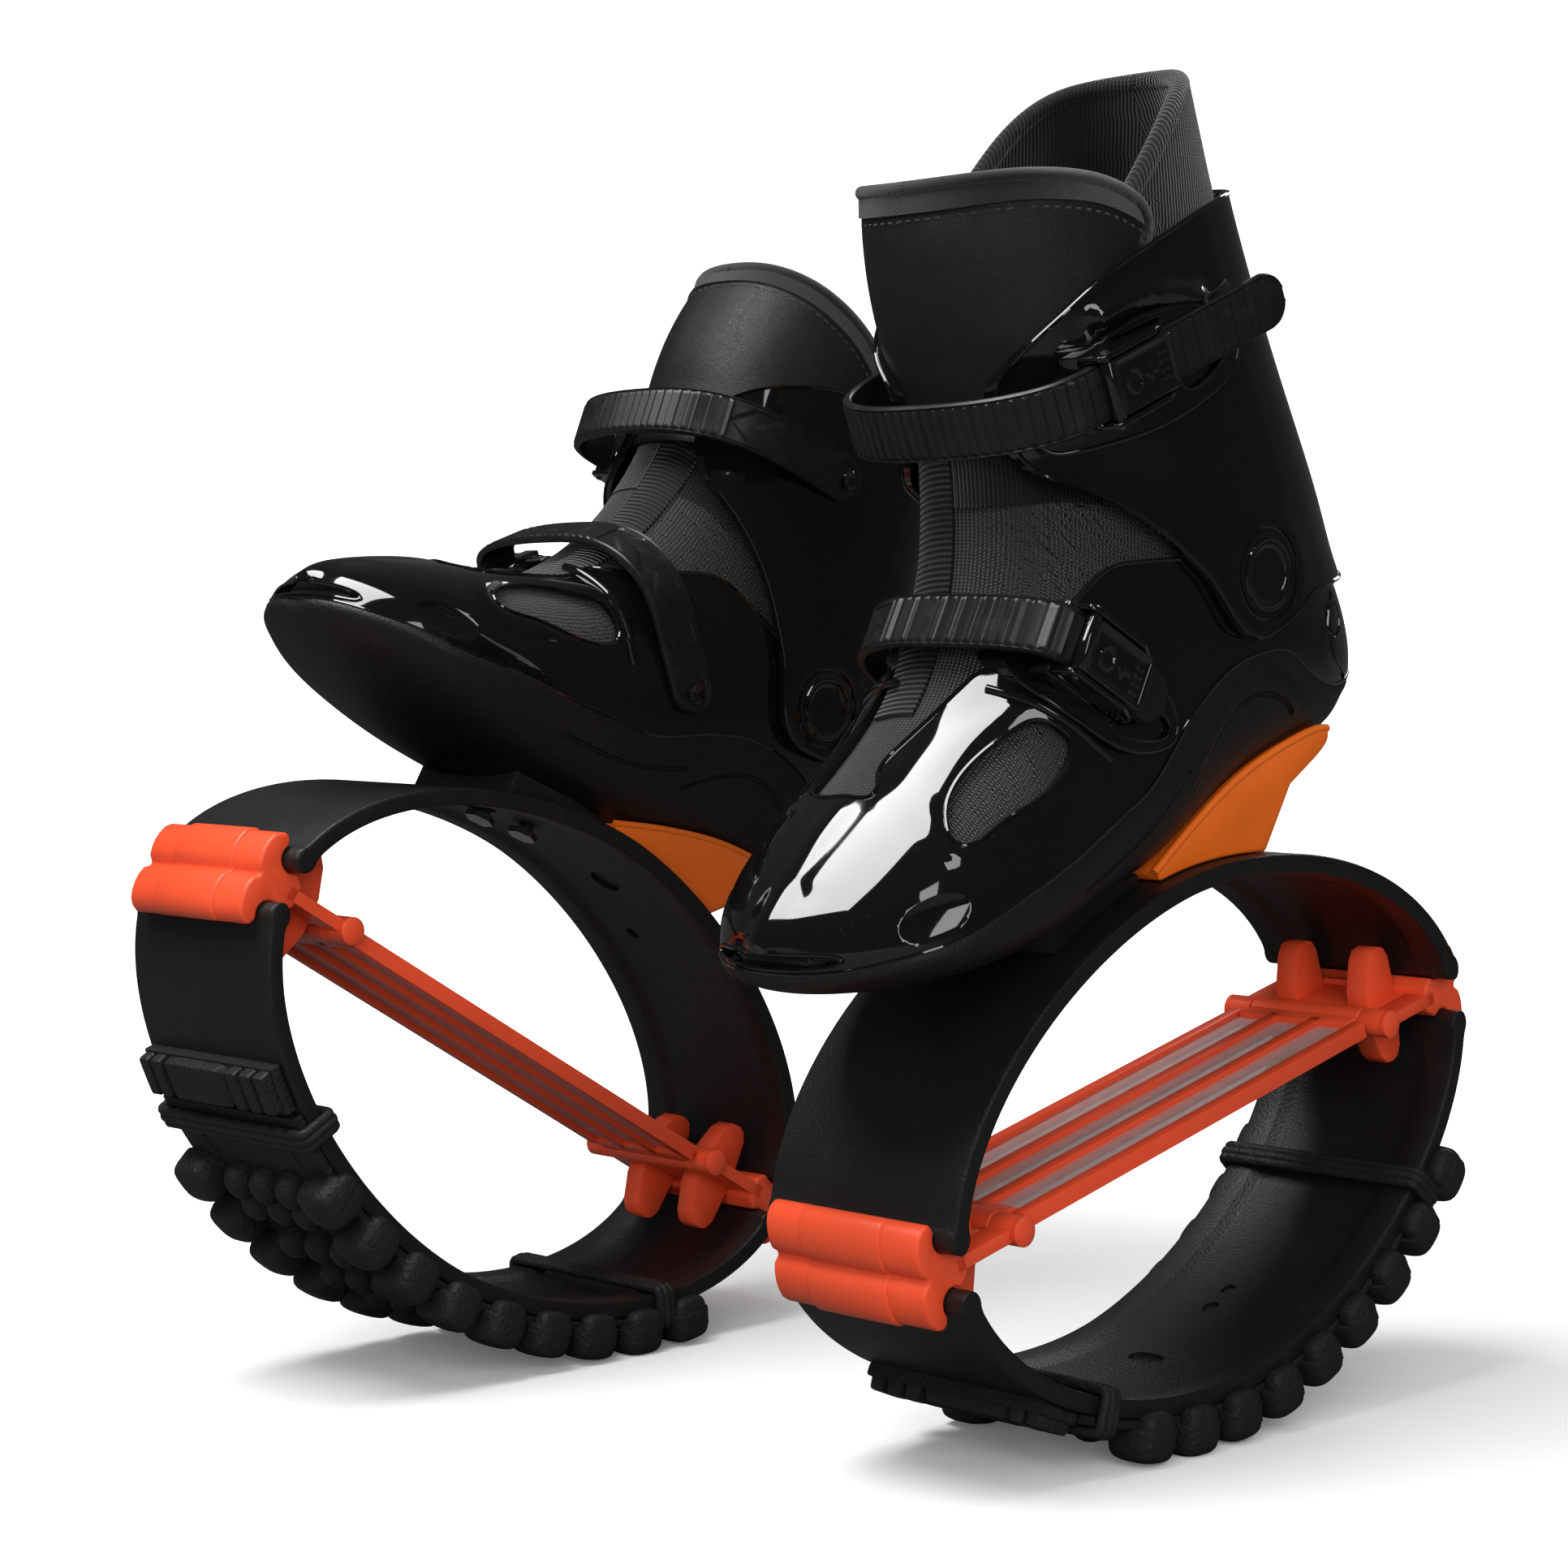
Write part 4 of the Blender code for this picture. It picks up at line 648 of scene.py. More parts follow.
def finish_of(name):
    """The material of a finish, made once."""
    if name not in made_finishes:
        made_finishes[name] = FINISHES[name]()
    return made_finishes[name]


# Shapes
def fwd(share):
    """Place along the boot of a share of its length."""
    return share * BOOT_LENGTH - HEEL_SETBACK


def up(share):
    """Height of a share of the boot's height."""
    return CROWN + share * BOOT_HEIGHT


def circle(centre, radius, count):
    """Points round a circle."""
    turns = np.linspace(0, 2 * math.pi, count, endpoint=False)
    return [(centre[0] + radius * math.cos(t), centre[1] + radius * math.sin(t)) for t in turns]


def rounded(points, rounds=3, closed=False):
    """Line with its corners cut, its ends kept where it is open."""
    line = [Vector(point) for point in points]
    for _ in range(rounds):
        pairs = list(zip(line, line[1:] + line[:1])) if closed else list(zip(line, line[1:]))
        smooth = [place for a, b in pairs for place in (a.lerp(b, 0.25), a.lerp(b, 0.75))]
        line = smooth if closed else [line[0]] + smooth[1:-1] + [line[-1]]
    return line


def side_line(shares, lift=0.0, closed=False):
    """Rounded side view line from shares."""
    return rounded([(fwd(a), up(b) + lift) for a, b in shares], closed=closed)


def rows_at(table, places):
    """Rows of a table at in-between places, on a smooth curve along its rows."""
    last = len(table) - 1
    rows = np.vstack([2 * table[:1] - table[1:2], table, 2 * table[-1:] - table[-2:-1]])
    low = np.clip(np.floor(places).astype(int), 0, last - 1)
    t = (places - low)[:, None]
    weights = (1 - t)**3, 3 * t**3 - 6 * t**2 + 4, 3 * t + 3 * t**2 - 3 * t**3 + 1, t**3
    return sum(weight * rows[low + shift] for shift, weight in enumerate(weights)) / 6


def form_points(skin, first=0.0, steps=8, sides=96, back=None):
    """Grid of points of the boot's form, moved out by a skin."""
    back = skin if back is None else back
    last = len(FORM) - 1
    places = np.linspace(first, last, int(round((last - first) * steps)) + 1)
    rows = rows_at(FORM, places)
    nose = rows_at(NOSE[:, None], places) * skin
    tail = np.stack([fwd(rows[:, 0]), up(rows[:, 1])], 1)
    top = np.stack([fwd(rows[:, 2]), up(rows[:, 3])], 1)
    way = (top - tail) / np.linalg.norm(top - tail, axis=1)[:, None]
    sink = np.maximum(FLOOR_RISE * rows[:, 7] - SHELL_WALL, 0.0) if back < 0 else 0.0
    tail = tail - way * np.broadcast_to(back - sink, len(rows))[:, None]
    top = top + way * skin
    half = BOOT_HALF_WIDTH * rows[:, 4] + skin
    angle = np.linspace(0, 2 * math.pi, sides, endpoint=False)
    power = (2 / rows[:, 6])[:, None]
    sine, along = np.sin(angle)[None, :], -np.cos(angle)[None, :]
    out = half[:, None] * np.sign(sine) * np.abs(sine) ** power
    rise = np.sign(along) * np.abs(along) ** power
    wide = rows[:, 5][:, None]
    share = wide + rise * np.where(rise < 0, wide, 1 - wide)
    place = tail[:, None, :] + (top - tail)[:, None, :] * share[:, :, None]
    return np.stack([out, place[:, :, 0] + nose, place[:, :, 1]], 2)


def grid_normals(points):
    """Outward normals of a grid of points that closes round its second axis."""
    along = np.gradient(points, axis=0)
    round_ = (np.roll(points, -1, 1) - np.roll(points, 1, 1)) / 2
    normal = np.cross(round_, along)
    length = np.linalg.norm(normal, axis=2, keepdims=True)
    return normal / np.maximum(length, 1e-12)


def mesh_from(points, faces):
    """Mesh from points and faces."""
    mesh = bpy.data.meshes.new("mesh")
    mesh.from_pydata([tuple(map(float, point)) for point in points], [], [tuple(face) for face in faces])
    return mesh


def grid_faces(rows, columns, closed=False):
    """Four-sided faces over rows and columns of points, which may close round their rows."""
    index = np.arange(rows * columns).reshape(rows, columns)
    if closed:
        index = np.hstack([index, index[:, :1]])
    return np.stack([index[:-1, :-1], index[:-1, 1:], index[1:, 1:], index[1:, :-1]], 2).reshape(-1, 4)


def give_weave(mesh, values):
    """Give a mesh its pattern coordinates."""
    attribute = mesh.attributes.get("weave") or mesh.attributes.new("weave", "FLOAT_VECTOR", "POINT")
    attribute.data.foreach_set("vector", np.array(values, np.float32).ravel())


def placed(name, data):
    """A new object in the scene."""
    item = bpy.data.objects.new(name, data)
    bpy.context.scene.collection.objects.link(item)
    return item


def evaluated(item, *others):
    """Plain mesh of an object after its modifiers. The object and its helpers are removed."""
    graph = bpy.context.evaluated_depsgraph_get()
    result = bpy.data.meshes.new_from_object(item.evaluated_get(graph))
    for used in (item, *others):
        bpy.data.objects.remove(used)
    return result


def from_bmesh(bm, mesh=None):
    """Mesh with what a bmesh holds."""
    mesh = mesh or bpy.data.meshes.new("mesh")
    bm.to_mesh(mesh)
    bm.free()
    return mesh


def outward(mesh):
    """Turn a closed mesh's faces outwards."""
    bm = bmesh.new()
    bm.from_mesh(mesh)
    bmesh.ops.remove_doubles(bm, verts=bm.verts, dist=1e-7)
    bmesh.ops.recalc_face_normals(bm, faces=bm.faces)
    return from_bmesh(bm, mesh)


def loft(grid, ends="fan"):
    """Closed mesh over a grid of points that closes round its second axis."""
    rings, sides = grid.shape[:2]
    points = list(grid.reshape(-1, 3))
    faces = grid_faces(rings, sides, closed=True).tolist()
    for ring, way in ((0, 1), (rings - 1, -1)):
        loop = list(range(ring * sides, (ring + 1) * sides))[::way]
        if ends == "fan":
            middle = len(points)
            points.append(grid[ring].mean(0))
            faces += [(middle, loop[(i + 1) % sides], loop[i]) for i in range(sides)]
        else:
            faces.append(loop[::-1])
    return outward(mesh_from(points, faces))


def prism(line, low, high):
    """Closed mesh from a side view line, from one place out to another."""
    count = len(line)
    points = [(x, a, b) for x in (low, high) for a, b in line]
    faces = [(i, (i + 1) % count, count + (i + 1) % count, count + i) for i in range(count)]
    faces += [tuple(range(count))[::-1], tuple(range(count, 2 * count))]
    return outward(mesh_from(points, faces))


def turned(profile, sides=None):
    """Closed mesh turned about the x axis from a profile of (x, radius)."""
    angle = np.linspace(0, 2 * math.pi, sides or sizes().round_sides, endpoint=False)
    return loft(np.array([[(x, r * math.cos(t), r * math.sin(t)) for t in angle] for x, r in profile]))


def boolean(mesh, cutter, operation):
    """Mesh that results from a Boolean."""
    body, tool = placed("body", mesh), placed("tool", cutter)
    modifier = body.modifiers.new("Boolean", "BOOLEAN")
    modifier.operation = operation
    modifier.solver = "MANIFOLD"
    modifier.object = tool
    result = evaluated(body, tool)
    if not len(result.polygons):
        raise RuntimeError("a Boolean left nothing")
    return result


def union(mesh, *others):
    """Mesh joined with others."""
    for other in others:
        mesh = boolean(mesh, other, "UNION")
    return mesh


def cut(mesh, *others):
    """Mesh with others taken away."""
    for other in others:
        mesh = boolean(mesh, other, "DIFFERENCE")
    return mesh


def within(mesh, other):
    """The part of a mesh inside another."""
    return boolean(mesh, other, "INTERSECT")


def joined(*meshes):
    """One mesh with all the meshes in it, each still its own shell."""
    bm = bmesh.new()
    for mesh in meshes:
        bm.from_mesh(mesh)
    return from_bmesh(bm)


def moved(mesh, matrix):
    """Copy of a mesh, moved."""
    copy = mesh.copy()
    copy.transform(matrix)
    return copy


def modified(mesh, kind, **settings):
    """Mesh after a modifier."""
    item = placed("item", mesh)
    modifier = item.modifiers.new(kind, kind)
    for key, value in settings.items():
        setattr(modifier, key, value)
    return evaluated(item)


def bevelled(mesh, width, segments=2, angle=30.0):
    """Mesh with rounded edges."""
    return modified(mesh, "BEVEL", width=width, segments=segments, limit_method="ANGLE",
                    angle_limit=math.radians(angle), use_clamp_overlap=True, miter_outer="MITER_ARC")


def distance_to(line, f, u, closed=False):
    """Distance of places in the side view to a line."""
    points = np.array([tuple(point) for point in line], float)
    ends = np.roll(points, -1, 0) if closed else points[1:]
    best = np.full(f.shape, 1e9)
    for a, b in zip(points, ends):
        d = b - a
        t = np.clip(((f - a[0]) * d[0] + (u - a[1]) * d[1]) / max(d @ d, 1e-12), 0, 1)
        best = np.minimum(best, np.hypot(f - a[0] - t * d[0], u - a[1] - t * d[1]))
    return best


def depth_in(line, f, u):
    """Distance to a closed line, below zero inside it."""
    points = [tuple(point) for point in line]
    inside = np.zeros(f.shape, bool)
    for (af, au), (bf, bu) in zip(points, points[1:] + points[:1]):
        if au == bu:
            continue
        crossing = (au > u) != (bu > u)
        inside ^= crossing & (f < (bf - af) * (u - au) / (bu - au) + af)
    distance = distance_to(line, f, u, closed=True)
    return np.where(inside, -distance, distance)


def ramp(distance, width):
    """1 well inside a shape, 0 outside it, smooth over a width."""
    t = np.clip(0.5 - distance / width, 0, 1)
    return t * t * (3 - 2 * t)


def line_mask(line, f, u, width):
    """1 on a line and 0 away from it."""
    return np.exp(-(distance_to(line, f, u) / width) ** 2)


def on_sides(x, *sides, near=0.012):
    """1 well out on some sides of the boot, 0 at its middle and on the others."""
    shares = [np.clip(side * x / near, 0, 1) for side in sides]
    return sum(t * t * (3 - 2 * t) for t in shares)


# Geometry node trees
def tree_with(name, **inputs):
    """A geometry tree and the sockets of its inputs, each given as a kind."""
    group = bpy.data.node_groups.new(name, "GeometryNodeTree")
    for label, kind in {"Geometry": "Geometry", **inputs}.items():
        group.interface.new_socket(label, in_out="INPUT", socket_type="NodeSocket" + kind)
    group.interface.new_socket("Geometry", in_out="OUTPUT", socket_type="NodeSocketGeometry")
    return group, group.nodes.new("NodeGroupInput").outputs


def linked(group, kind, settings, links):
    """A node of a tree with its inputs set or linked."""
    node = group.nodes.new(kind)
    for key, value in settings.items():
        setattr(node, key, value)
    for key, value in links.items():
        if isinstance(value, bpy.types.NodeSocket):
            group.links.new(value, node.inputs[key])
        else:
            node.inputs[key].default_value = value
    return node


def finished(group, pieces, material):
    """Let a tree give its pieces as one plain mesh of one material."""
    real = linked(group, "GeometryNodeRealizeInstances", {}, {0: pieces.outputs[0]})
    finish = linked(group, "GeometryNodeSetMaterial", {}, {"Geometry": real.outputs[0], "Material": material})
    linked(group, "NodeGroupOutput", {}, {0: finish.outputs[0]})
    return group


def repeat_tree():
    """Tree that sets a piece on every point, turned by the point's own turn and sized by its own size."""
    group, source = tree_with("repeat_piece", Piece="Object", Finish="Material")
    piece = linked(group, "GeometryNodeObjectInfo", {}, {"Object": source["Piece"]})
    vector = {"data_type": "FLOAT_VECTOR"}
    turn, size = [linked(group, "GeometryNodeInputNamedAttribute", vector, {"Name": name})
                  for name in ("turn", "size")]
    spread = linked(group, "GeometryNodeInstanceOnPoints", {}, {
        "Points": source["Geometry"], "Instance": piece.outputs["Geometry"],
        "Rotation": turn.outputs[0], "Scale": size.outputs[0]})
    return finished(group, spread, source["Finish"])


def follow_tree():
    """Tree that runs a round cord along lines."""
    group, source = tree_with("follow_line", Radius="Float", Sides="Int", Finish="Material")
    path = linked(group, "GeometryNodeMeshToCurve", {}, {"Mesh": source["Geometry"]})
    ring = linked(group, "GeometryNodeCurvePrimitiveCircle", {}, {
        "Resolution": source["Sides"], "Radius": source["Radius"]})
    cord = linked(group, "GeometryNodeCurveToMesh", {}, {
        "Curve": path.outputs[0], "Profile Curve": ring.outputs[0], "Fill Caps": True})
    smooth = linked(group, "GeometryNodeSetShadeSmooth", {}, {0: cord.outputs[0]})
    return finished(group, smooth, source["Finish"])


made_trees = {}


def through_tree(mesh, make_tree, **inputs):
    """Plain mesh that a geometry node tree makes of a mesh."""
    if make_tree not in made_trees:
        made_trees[make_tree] = make_tree()
    item = placed("carrier", mesh)
    modifier = item.modifiers.new("Nodes", "NODES")
    modifier.node_group = made_trees[make_tree]
    for socket in modifier.node_group.interface.items_tree:
        if socket.in_out == "INPUT" and socket.name in inputs:
            modifier[socket.identifier] = inputs[socket.name]
    return evaluated(item)


def repeated(template, places, finish):
    """A template mesh at every place, each a matrix and a size."""
    points = bpy.data.meshes.new("places")
    points.from_pydata([matrix.translation[:] for matrix, _ in places], [], [])
    turn = points.attributes.new("turn", "FLOAT_VECTOR", "POINT")
    scale = points.attributes.new("size", "FLOAT_VECTOR", "POINT")
    for i, (matrix, size) in enumerate(places):
        turn.data[i].vector = matrix.to_euler()[:]
        scale.data[i].vector = size
    piece = placed("template", template)
    result = through_tree(points, repeat_tree, Piece=piece, Finish=finish_of(finish))
    bpy.data.objects.remove(piece)
    return result


def tube(lines, radius, finish, sides=10):
    """Round cord along lines, each (points, closed)."""
    points, edges = [], []
    for line, closed in lines:
        start = len(points)
        points += [tuple(point) for point in line]
        edges += [(i, i + 1) for i in range(start, len(points) - 1)]
        if closed:
            edges.append((len(points) - 1, start))
    mesh = bpy.data.meshes.new("lines")
    mesh.from_pydata(points, edges, [])
    return through_tree(mesh, follow_tree, Radius=radius, Sides=sides, Finish=finish_of(finish))


def evened(line, closed, step, rounds=4):
    """Line at even steps, smoothed."""
    points = np.array([tuple(point) for point in line], float)
    if closed:
        points = np.vstack([points, points[:1]])
    lengths = np.concatenate([[0], np.cumsum(np.linalg.norm(np.diff(points, axis=0), axis=1))])
    count = max(int(lengths[-1] / step), 4)
    targets = np.linspace(0, lengths[-1], count + 1)
    even = np.stack([np.interp(targets, lengths, points[:, k]) for k in range(3)], 1)
    if closed:
        even = even[:-1]
    for _ in range(rounds):
        if closed:
            even = (np.roll(even, 1, 0) + 2 * even + np.roll(even, -1, 0)) / 4
        else:
            even[1:-1] = (even[:-2] + 2 * even[1:-1] + even[2:]) / 4
    return even


def cut_lines(mesh, skin, reach=0.00002):
    """Lines where a wall that was cut meets a skin, from the edges that lie on the skin and are sharp."""
    bm = bmesh.new()
    bm.from_mesh(mesh)
    bmesh.ops.remove_doubles(bm, verts=bm.verts, dist=1e-6)
    links, places = {}, {}
    for edge in bm.edges:
        if len(edge.link_faces) != 2 or edge.calc_face_angle(0.0) <= math.radians(32):
            continue
        ends = list(edge.verts)
        hits = [skin.find_nearest(vert.co) for vert in ends]
        if all(hit[0] is not None and hit[3] < reach for hit in hits):
            for vert, other in (ends, ends[::-1]):
                places[vert.index] = vert.co.copy()
                links.setdefault(vert.index, []).append(other.index)
    bm.free()
    links = {index: set(others) for index, others in links.items()}
    lines, seen = [], set()
    for start in sorted(links, key=lambda i: len(links[i]) != 1):
        chain = []
        ahead = [] if start in seen else [start]
        while ahead:
            seen.add(ahead[0])
            chain.append(ahead[0])
            ahead = [i for i in links[chain[-1]] if i not in seen]
        if len(chain) > 8:
            lines.append(([places[i] for i in chain], chain[0] in links[chain[-1]]))
    return lines


def tree_of(mesh):
    """Search tree of a mesh."""
    bm = bmesh.new()
    bm.from_mesh(mesh)
    tree = BVHTree.FromBMesh(bm)
    bm.free()
    return tree


def longest_line(mesh, skin):
    """Longest line where a cut wall meets a skin, and whether it closes."""
    return max(cut_lines(mesh, tree_of(skin)), key=lambda line: len(line[0]))


def rim_of(mesh, skin, radius, finish):
    """Rounded rim along the cut edges of a wall, on its skin."""
    lines = [(evened(line, closed, 0.0016), closed) for line, closed in cut_lines(mesh, tree_of(skin))]
    return tube([(line, closed) for line, closed in lines if len(line) > 12], radius, finish, 8)


# Setting pieces in place
def shoe_matrix(side):
    """Matrix from a shoe's own axes to the frame's."""
    sign = SIDES[side]
    high = Vector(JOINTS[side + "_bounce"]["axis"]).normalized()
    toe = Vector((0, -high.z, high.y))
    matrix = Matrix(((sign, 0, 0), toe, high)).transposed().to_4x4()
    pivot = Vector(JOINTS[side + "_cuff_hinge"]["pos_m"])
    matrix.translation = pivot - matrix.to_3x3() @ Vector((0, *PIVOT))
    return matrix


def surface_weave(mesh, skin, first):
    """Give a mesh on the form pattern coordinates in metres, along the form and round it."""
    grid = form_points(skin, first)
    rings, sides = grid.shape[:2]
    steps = np.linalg.norm(np.diff(grid, axis=0), axis=2)
    along = np.vstack([np.zeros((1, sides)), np.cumsum(steps, 0)])
    closed = np.concatenate([grid, grid[:, :1]], 1)
    turns = np.linalg.norm(np.diff(closed, axis=1), axis=2)
    arc = np.concatenate([np.zeros((rings, 1)), np.cumsum(turns, 1)], 1)
    faces = grid_faces(rings, sides, closed=True)
    tree = BVHTree.FromPolygons([tuple(point) for point in grid.reshape(-1, 3)], faces.tolist())
    values = []
    for vert in mesh.vertices:
        spot, _, face, _ = tree.find_nearest(vert.co)
        i, j = divmod(face, sides)
        corner = grid[i, j]
        step, turn = grid[i + 1, j] - corner, closed[i, j + 1] - corner
        offset = np.array(spot) - corner
        lengths = np.linalg.norm(step) + 1e-9, np.linalg.norm(turn) + 1e-9
        shares = [min(max(offset @ way / length**2, 0), 1) for way, length in zip((step, turn), lengths)]
        low = along[i, j] + shares[1] * (along[i, (j + 1) % sides] - along[i, j])
        around = arc[i, j] - arc[i, sides // 2]
        values.append((low + shares[0] * lengths[0], abs(around + shares[1] * lengths[1]), 0.0))
    give_weave(mesh, values)


def set_piece(name, mesh, finish, body, replaces=(), smooth=38.0, ride=True):
    """Both shoes' objects of a mesh made in the shoe's own axes."""
    items = []
    for side in SIDES:
        matrix = shoe_matrix(side)
        copy = moved(mesh, matrix)
        if matrix.determinant() < 0:
            copy.flip_normals()
        copy.materials.clear()
        copy.materials.append(finish_of(finish))
        for polygon in copy.polygons:
            polygon.material_index = 0
        copy.shade_smooth()
        copy.set_sharp_from_angle(angle=math.radians(smooth))
        item = placed(f"{side}_{name}", copy)
        if ride:
            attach(item, "boots" if body == "boots" else f"{side}_{body}")
        for node in replaces:
            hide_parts(f"{side}_{node}")
        items.append(item)
    return items


def set_padded(name, mesh, finish, body, fill, **more):
    """Both shoes' objects of a padded piece."""
    items = set_piece(name, mesh, finish, body, **more)
    return items


def bend_at_ankle(items):
    """Bake each piece's place into its mesh."""
    for side, item in zip(SIDES, items):
        matrix = shoe_matrix(side)
        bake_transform(item)


def steel_node(name):
    """Give both shoes' nodes of a name their steel."""
    for side in SIDES:
        frame["nodes"][f"{side}_{name}"].data.materials[0] = finish_of("steel")


def squash_bow(items):
    """Give each of a bow's pieces a mesh of its own."""
    for side, item in zip(SIDES, items):
        matrix = shoe_matrix(side)
        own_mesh(item)


# Ring
class Bow:
    """Half of the ring, measured along its inner face from its crown."""

    def __init__(self, height):
        self.height = height
        angles = np.linspace(0, math.pi, 721)
        reach = np.sign(np.cos(angles)) * np.abs(np.cos(angles)) ** (2 / RING_POWER)
        rise = np.abs(np.sin(angles)) ** (2 / RING_POWER)
        self.points = np.stack([RING_HALF_LENGTH * reach, height * rise], 1)
        out = np.stack([np.sign(reach) * np.abs(reach) ** (RING_POWER - 1) / RING_HALF_LENGTH,
                        rise ** (RING_POWER - 1) / height], 1)
        self.out = out / np.linalg.norm(out, axis=1)[:, None]
        steps = np.linalg.norm(np.diff(self.points, axis=0), axis=1)
        lengths = np.concatenate([[0], np.cumsum(steps)])
        self.lengths = lengths[-1] / 2 - lengths
        end = math.asin((BOW_END_GAP / abs(height)) ** (RING_POWER / 2))
        self.half = float(np.interp(end, angles, self.lengths))

    def at(self, length, offset=0.0):
        """Point (fwd, up) at a length forward of the crown, and the way out of the ring there."""
        places = [np.interp(-length, -self.lengths, column) for column in (*self.points.T, *self.out.T)]
        way = Vector(places[2:]).normalized()
        return Vector(places[:2]) + way * offset, way

    def view(self, length, offset=0.0):
        """Matrix with x out, y forward along the bow and z out of the ring."""
        place, way = self.at(length, offset)
        turn = math.copysign(1, self.height)
        ways = (turn, 0, 0), (0, turn * way.y, -turn * way.x), (0, way.x, way.y)
        matrix = Matrix(ways).transposed().to_4x4()
        matrix.translation = (0, place.x, place.y)
        return matrix

    def at_fwd(self, place, offset):
        """Point (fwd, up) of an offset face at a place along the boot."""
        low, high = -self.half, self.half
        for _ in range(40):
            middle = (low + high) / 2
            low, high = (middle, high) if self.at(middle, offset)[0].x < place else (low, middle)
        return self.at(low, offset)[0]


def band_section(half, inner, outer, radius, channel=0.0, depth=0.0):
    """Points (out, offset) round a band with rounded corners and a channel in its inner face."""
    points = []
    if channel:
        slope = depth * 1.3
        edge = ((channel + slope * 1.4, 0.0), (channel + slope, 0.15), (channel, 0.9),
                (channel - slope * 0.5, 1.0))
        points += [(-x, inner + depth * share) for x, share in edge]
        points += [(x, inner + depth * share) for x, share in reversed(edge)]
    corners = ((half, inner, -90), (half, outer, 0), (-half, outer, 90), (-half, inner, 180))
    for x, z, start in corners:
        cx = x - math.copysign(radius, x)
        cz = z + radius if z == inner else z - radius
        for i in range(5):
            angle = math.radians(start + 90 * i / 4)
            points.append((cx + radius * math.cos(angle), cz + radius * math.sin(angle)))
    return points


def band(bow, stations, sections):
    """Closed mesh of a band along a bow, with a section at each station."""
    rings = []
    for length, section in zip(stations, sections):
        place, way = bow.at(length)
        rings.append([(x, place.x + way.x * z, place.y + way.y * z) for x, z in section])
    return loft(np.array(rings), ends="cap")


def bow_mesh(bow):
    """A bow with a round bead at each end."""
    centre = BOW_THICKNESS / 2
    reach = bow.half - BEAD_RADIUS
    calm_length = 0.012
    turns = [math.radians(degrees) for degrees in range(4, 136, 12)]
    beads = [(BEAD_RADIUS * math.cos(t), BEAD_RADIUS * math.sin(t)) for t in turns]
    ends = [(reach + c, max(s, 0.0004 if c > 0 else centre)) for c, s in beads]
    flat = reach - BEAD_RADIUS * 1.1
    body = [(length, centre) for length in np.linspace(flat, -flat, sizes().ring_steps)]
    stations = ends + body + [(-length, swell) for length, swell in reversed(ends)]
    sections = []
    for length, swell in stations:
        grow = swell / centre
        calm = min(1.0, max(0.0, (reach - abs(length)) / calm_length - 0.3))
        depth = CHANNEL_DEPTH * calm + 0.00002
        section = band_section(BOW_WIDTH / 2, 0.0, BOW_THICKNESS, BOW_CORNER, CHANNEL_HALF, depth)
        sections.append([(x, centre + (z - centre) * grow) for x, z in section])
    return band(bow, [length for length, _ in stations], sections)


def bow_cutters(bow, places):
    """Round and square recesses in a bow's inner face, each (out, length, size, kind)."""
    tools = []
    for out, length, reach, kind in places:
        if kind == "round":
            line = circle((0, 0), reach, 28)
        else:
            tall = reach * 0.6
            line = rounded([(-reach, -tall), (reach, -tall), (reach, tall), (-reach, tall)], 2, True)
        grid = np.array([[(a, b, z) for a, b in line] for z in (-0.004, RECESS_DEPTH)])
        view = bow.view(length, CHANNEL_DEPTH) @ Matrix.Translation((out, 0, 0))
        tools.append(moved(loft(grid, ends="cap"), view))
    return tools


def clip_outline(upper, lower, facing):
    """Side view outline of a clip, its two notches open round the beads, and the upper bead's place."""
    halves = []
    radius = BEAD_RADIUS + 0.0005
    for bow in (upper, lower):
        bead = bow.at(facing * (bow.half - BEAD_RADIUS), BOW_THICKNESS / 2)[0]
        sign = math.copysign(1, bow.height)
        half = [(bead.x + facing * CLIP_LOBE[0] * a, sign * CLIP_LOBE[1] * b) for a, b in LOBE]
        for degrees in range(40, -146, -15):
            angle = math.radians(degrees)
            a, b = radius * math.cos(angle), radius * math.sin(angle)
            half.append((bead.x + facing * a, bead.y + sign * b))
        half.append((bead.x - facing * CLIP_WEB, sign * 0.0045))
        halves.append((half, bead))
    (above, bead), (below, _) = halves
    return above[1:] + below[:0:-1] + [above[0]], bead


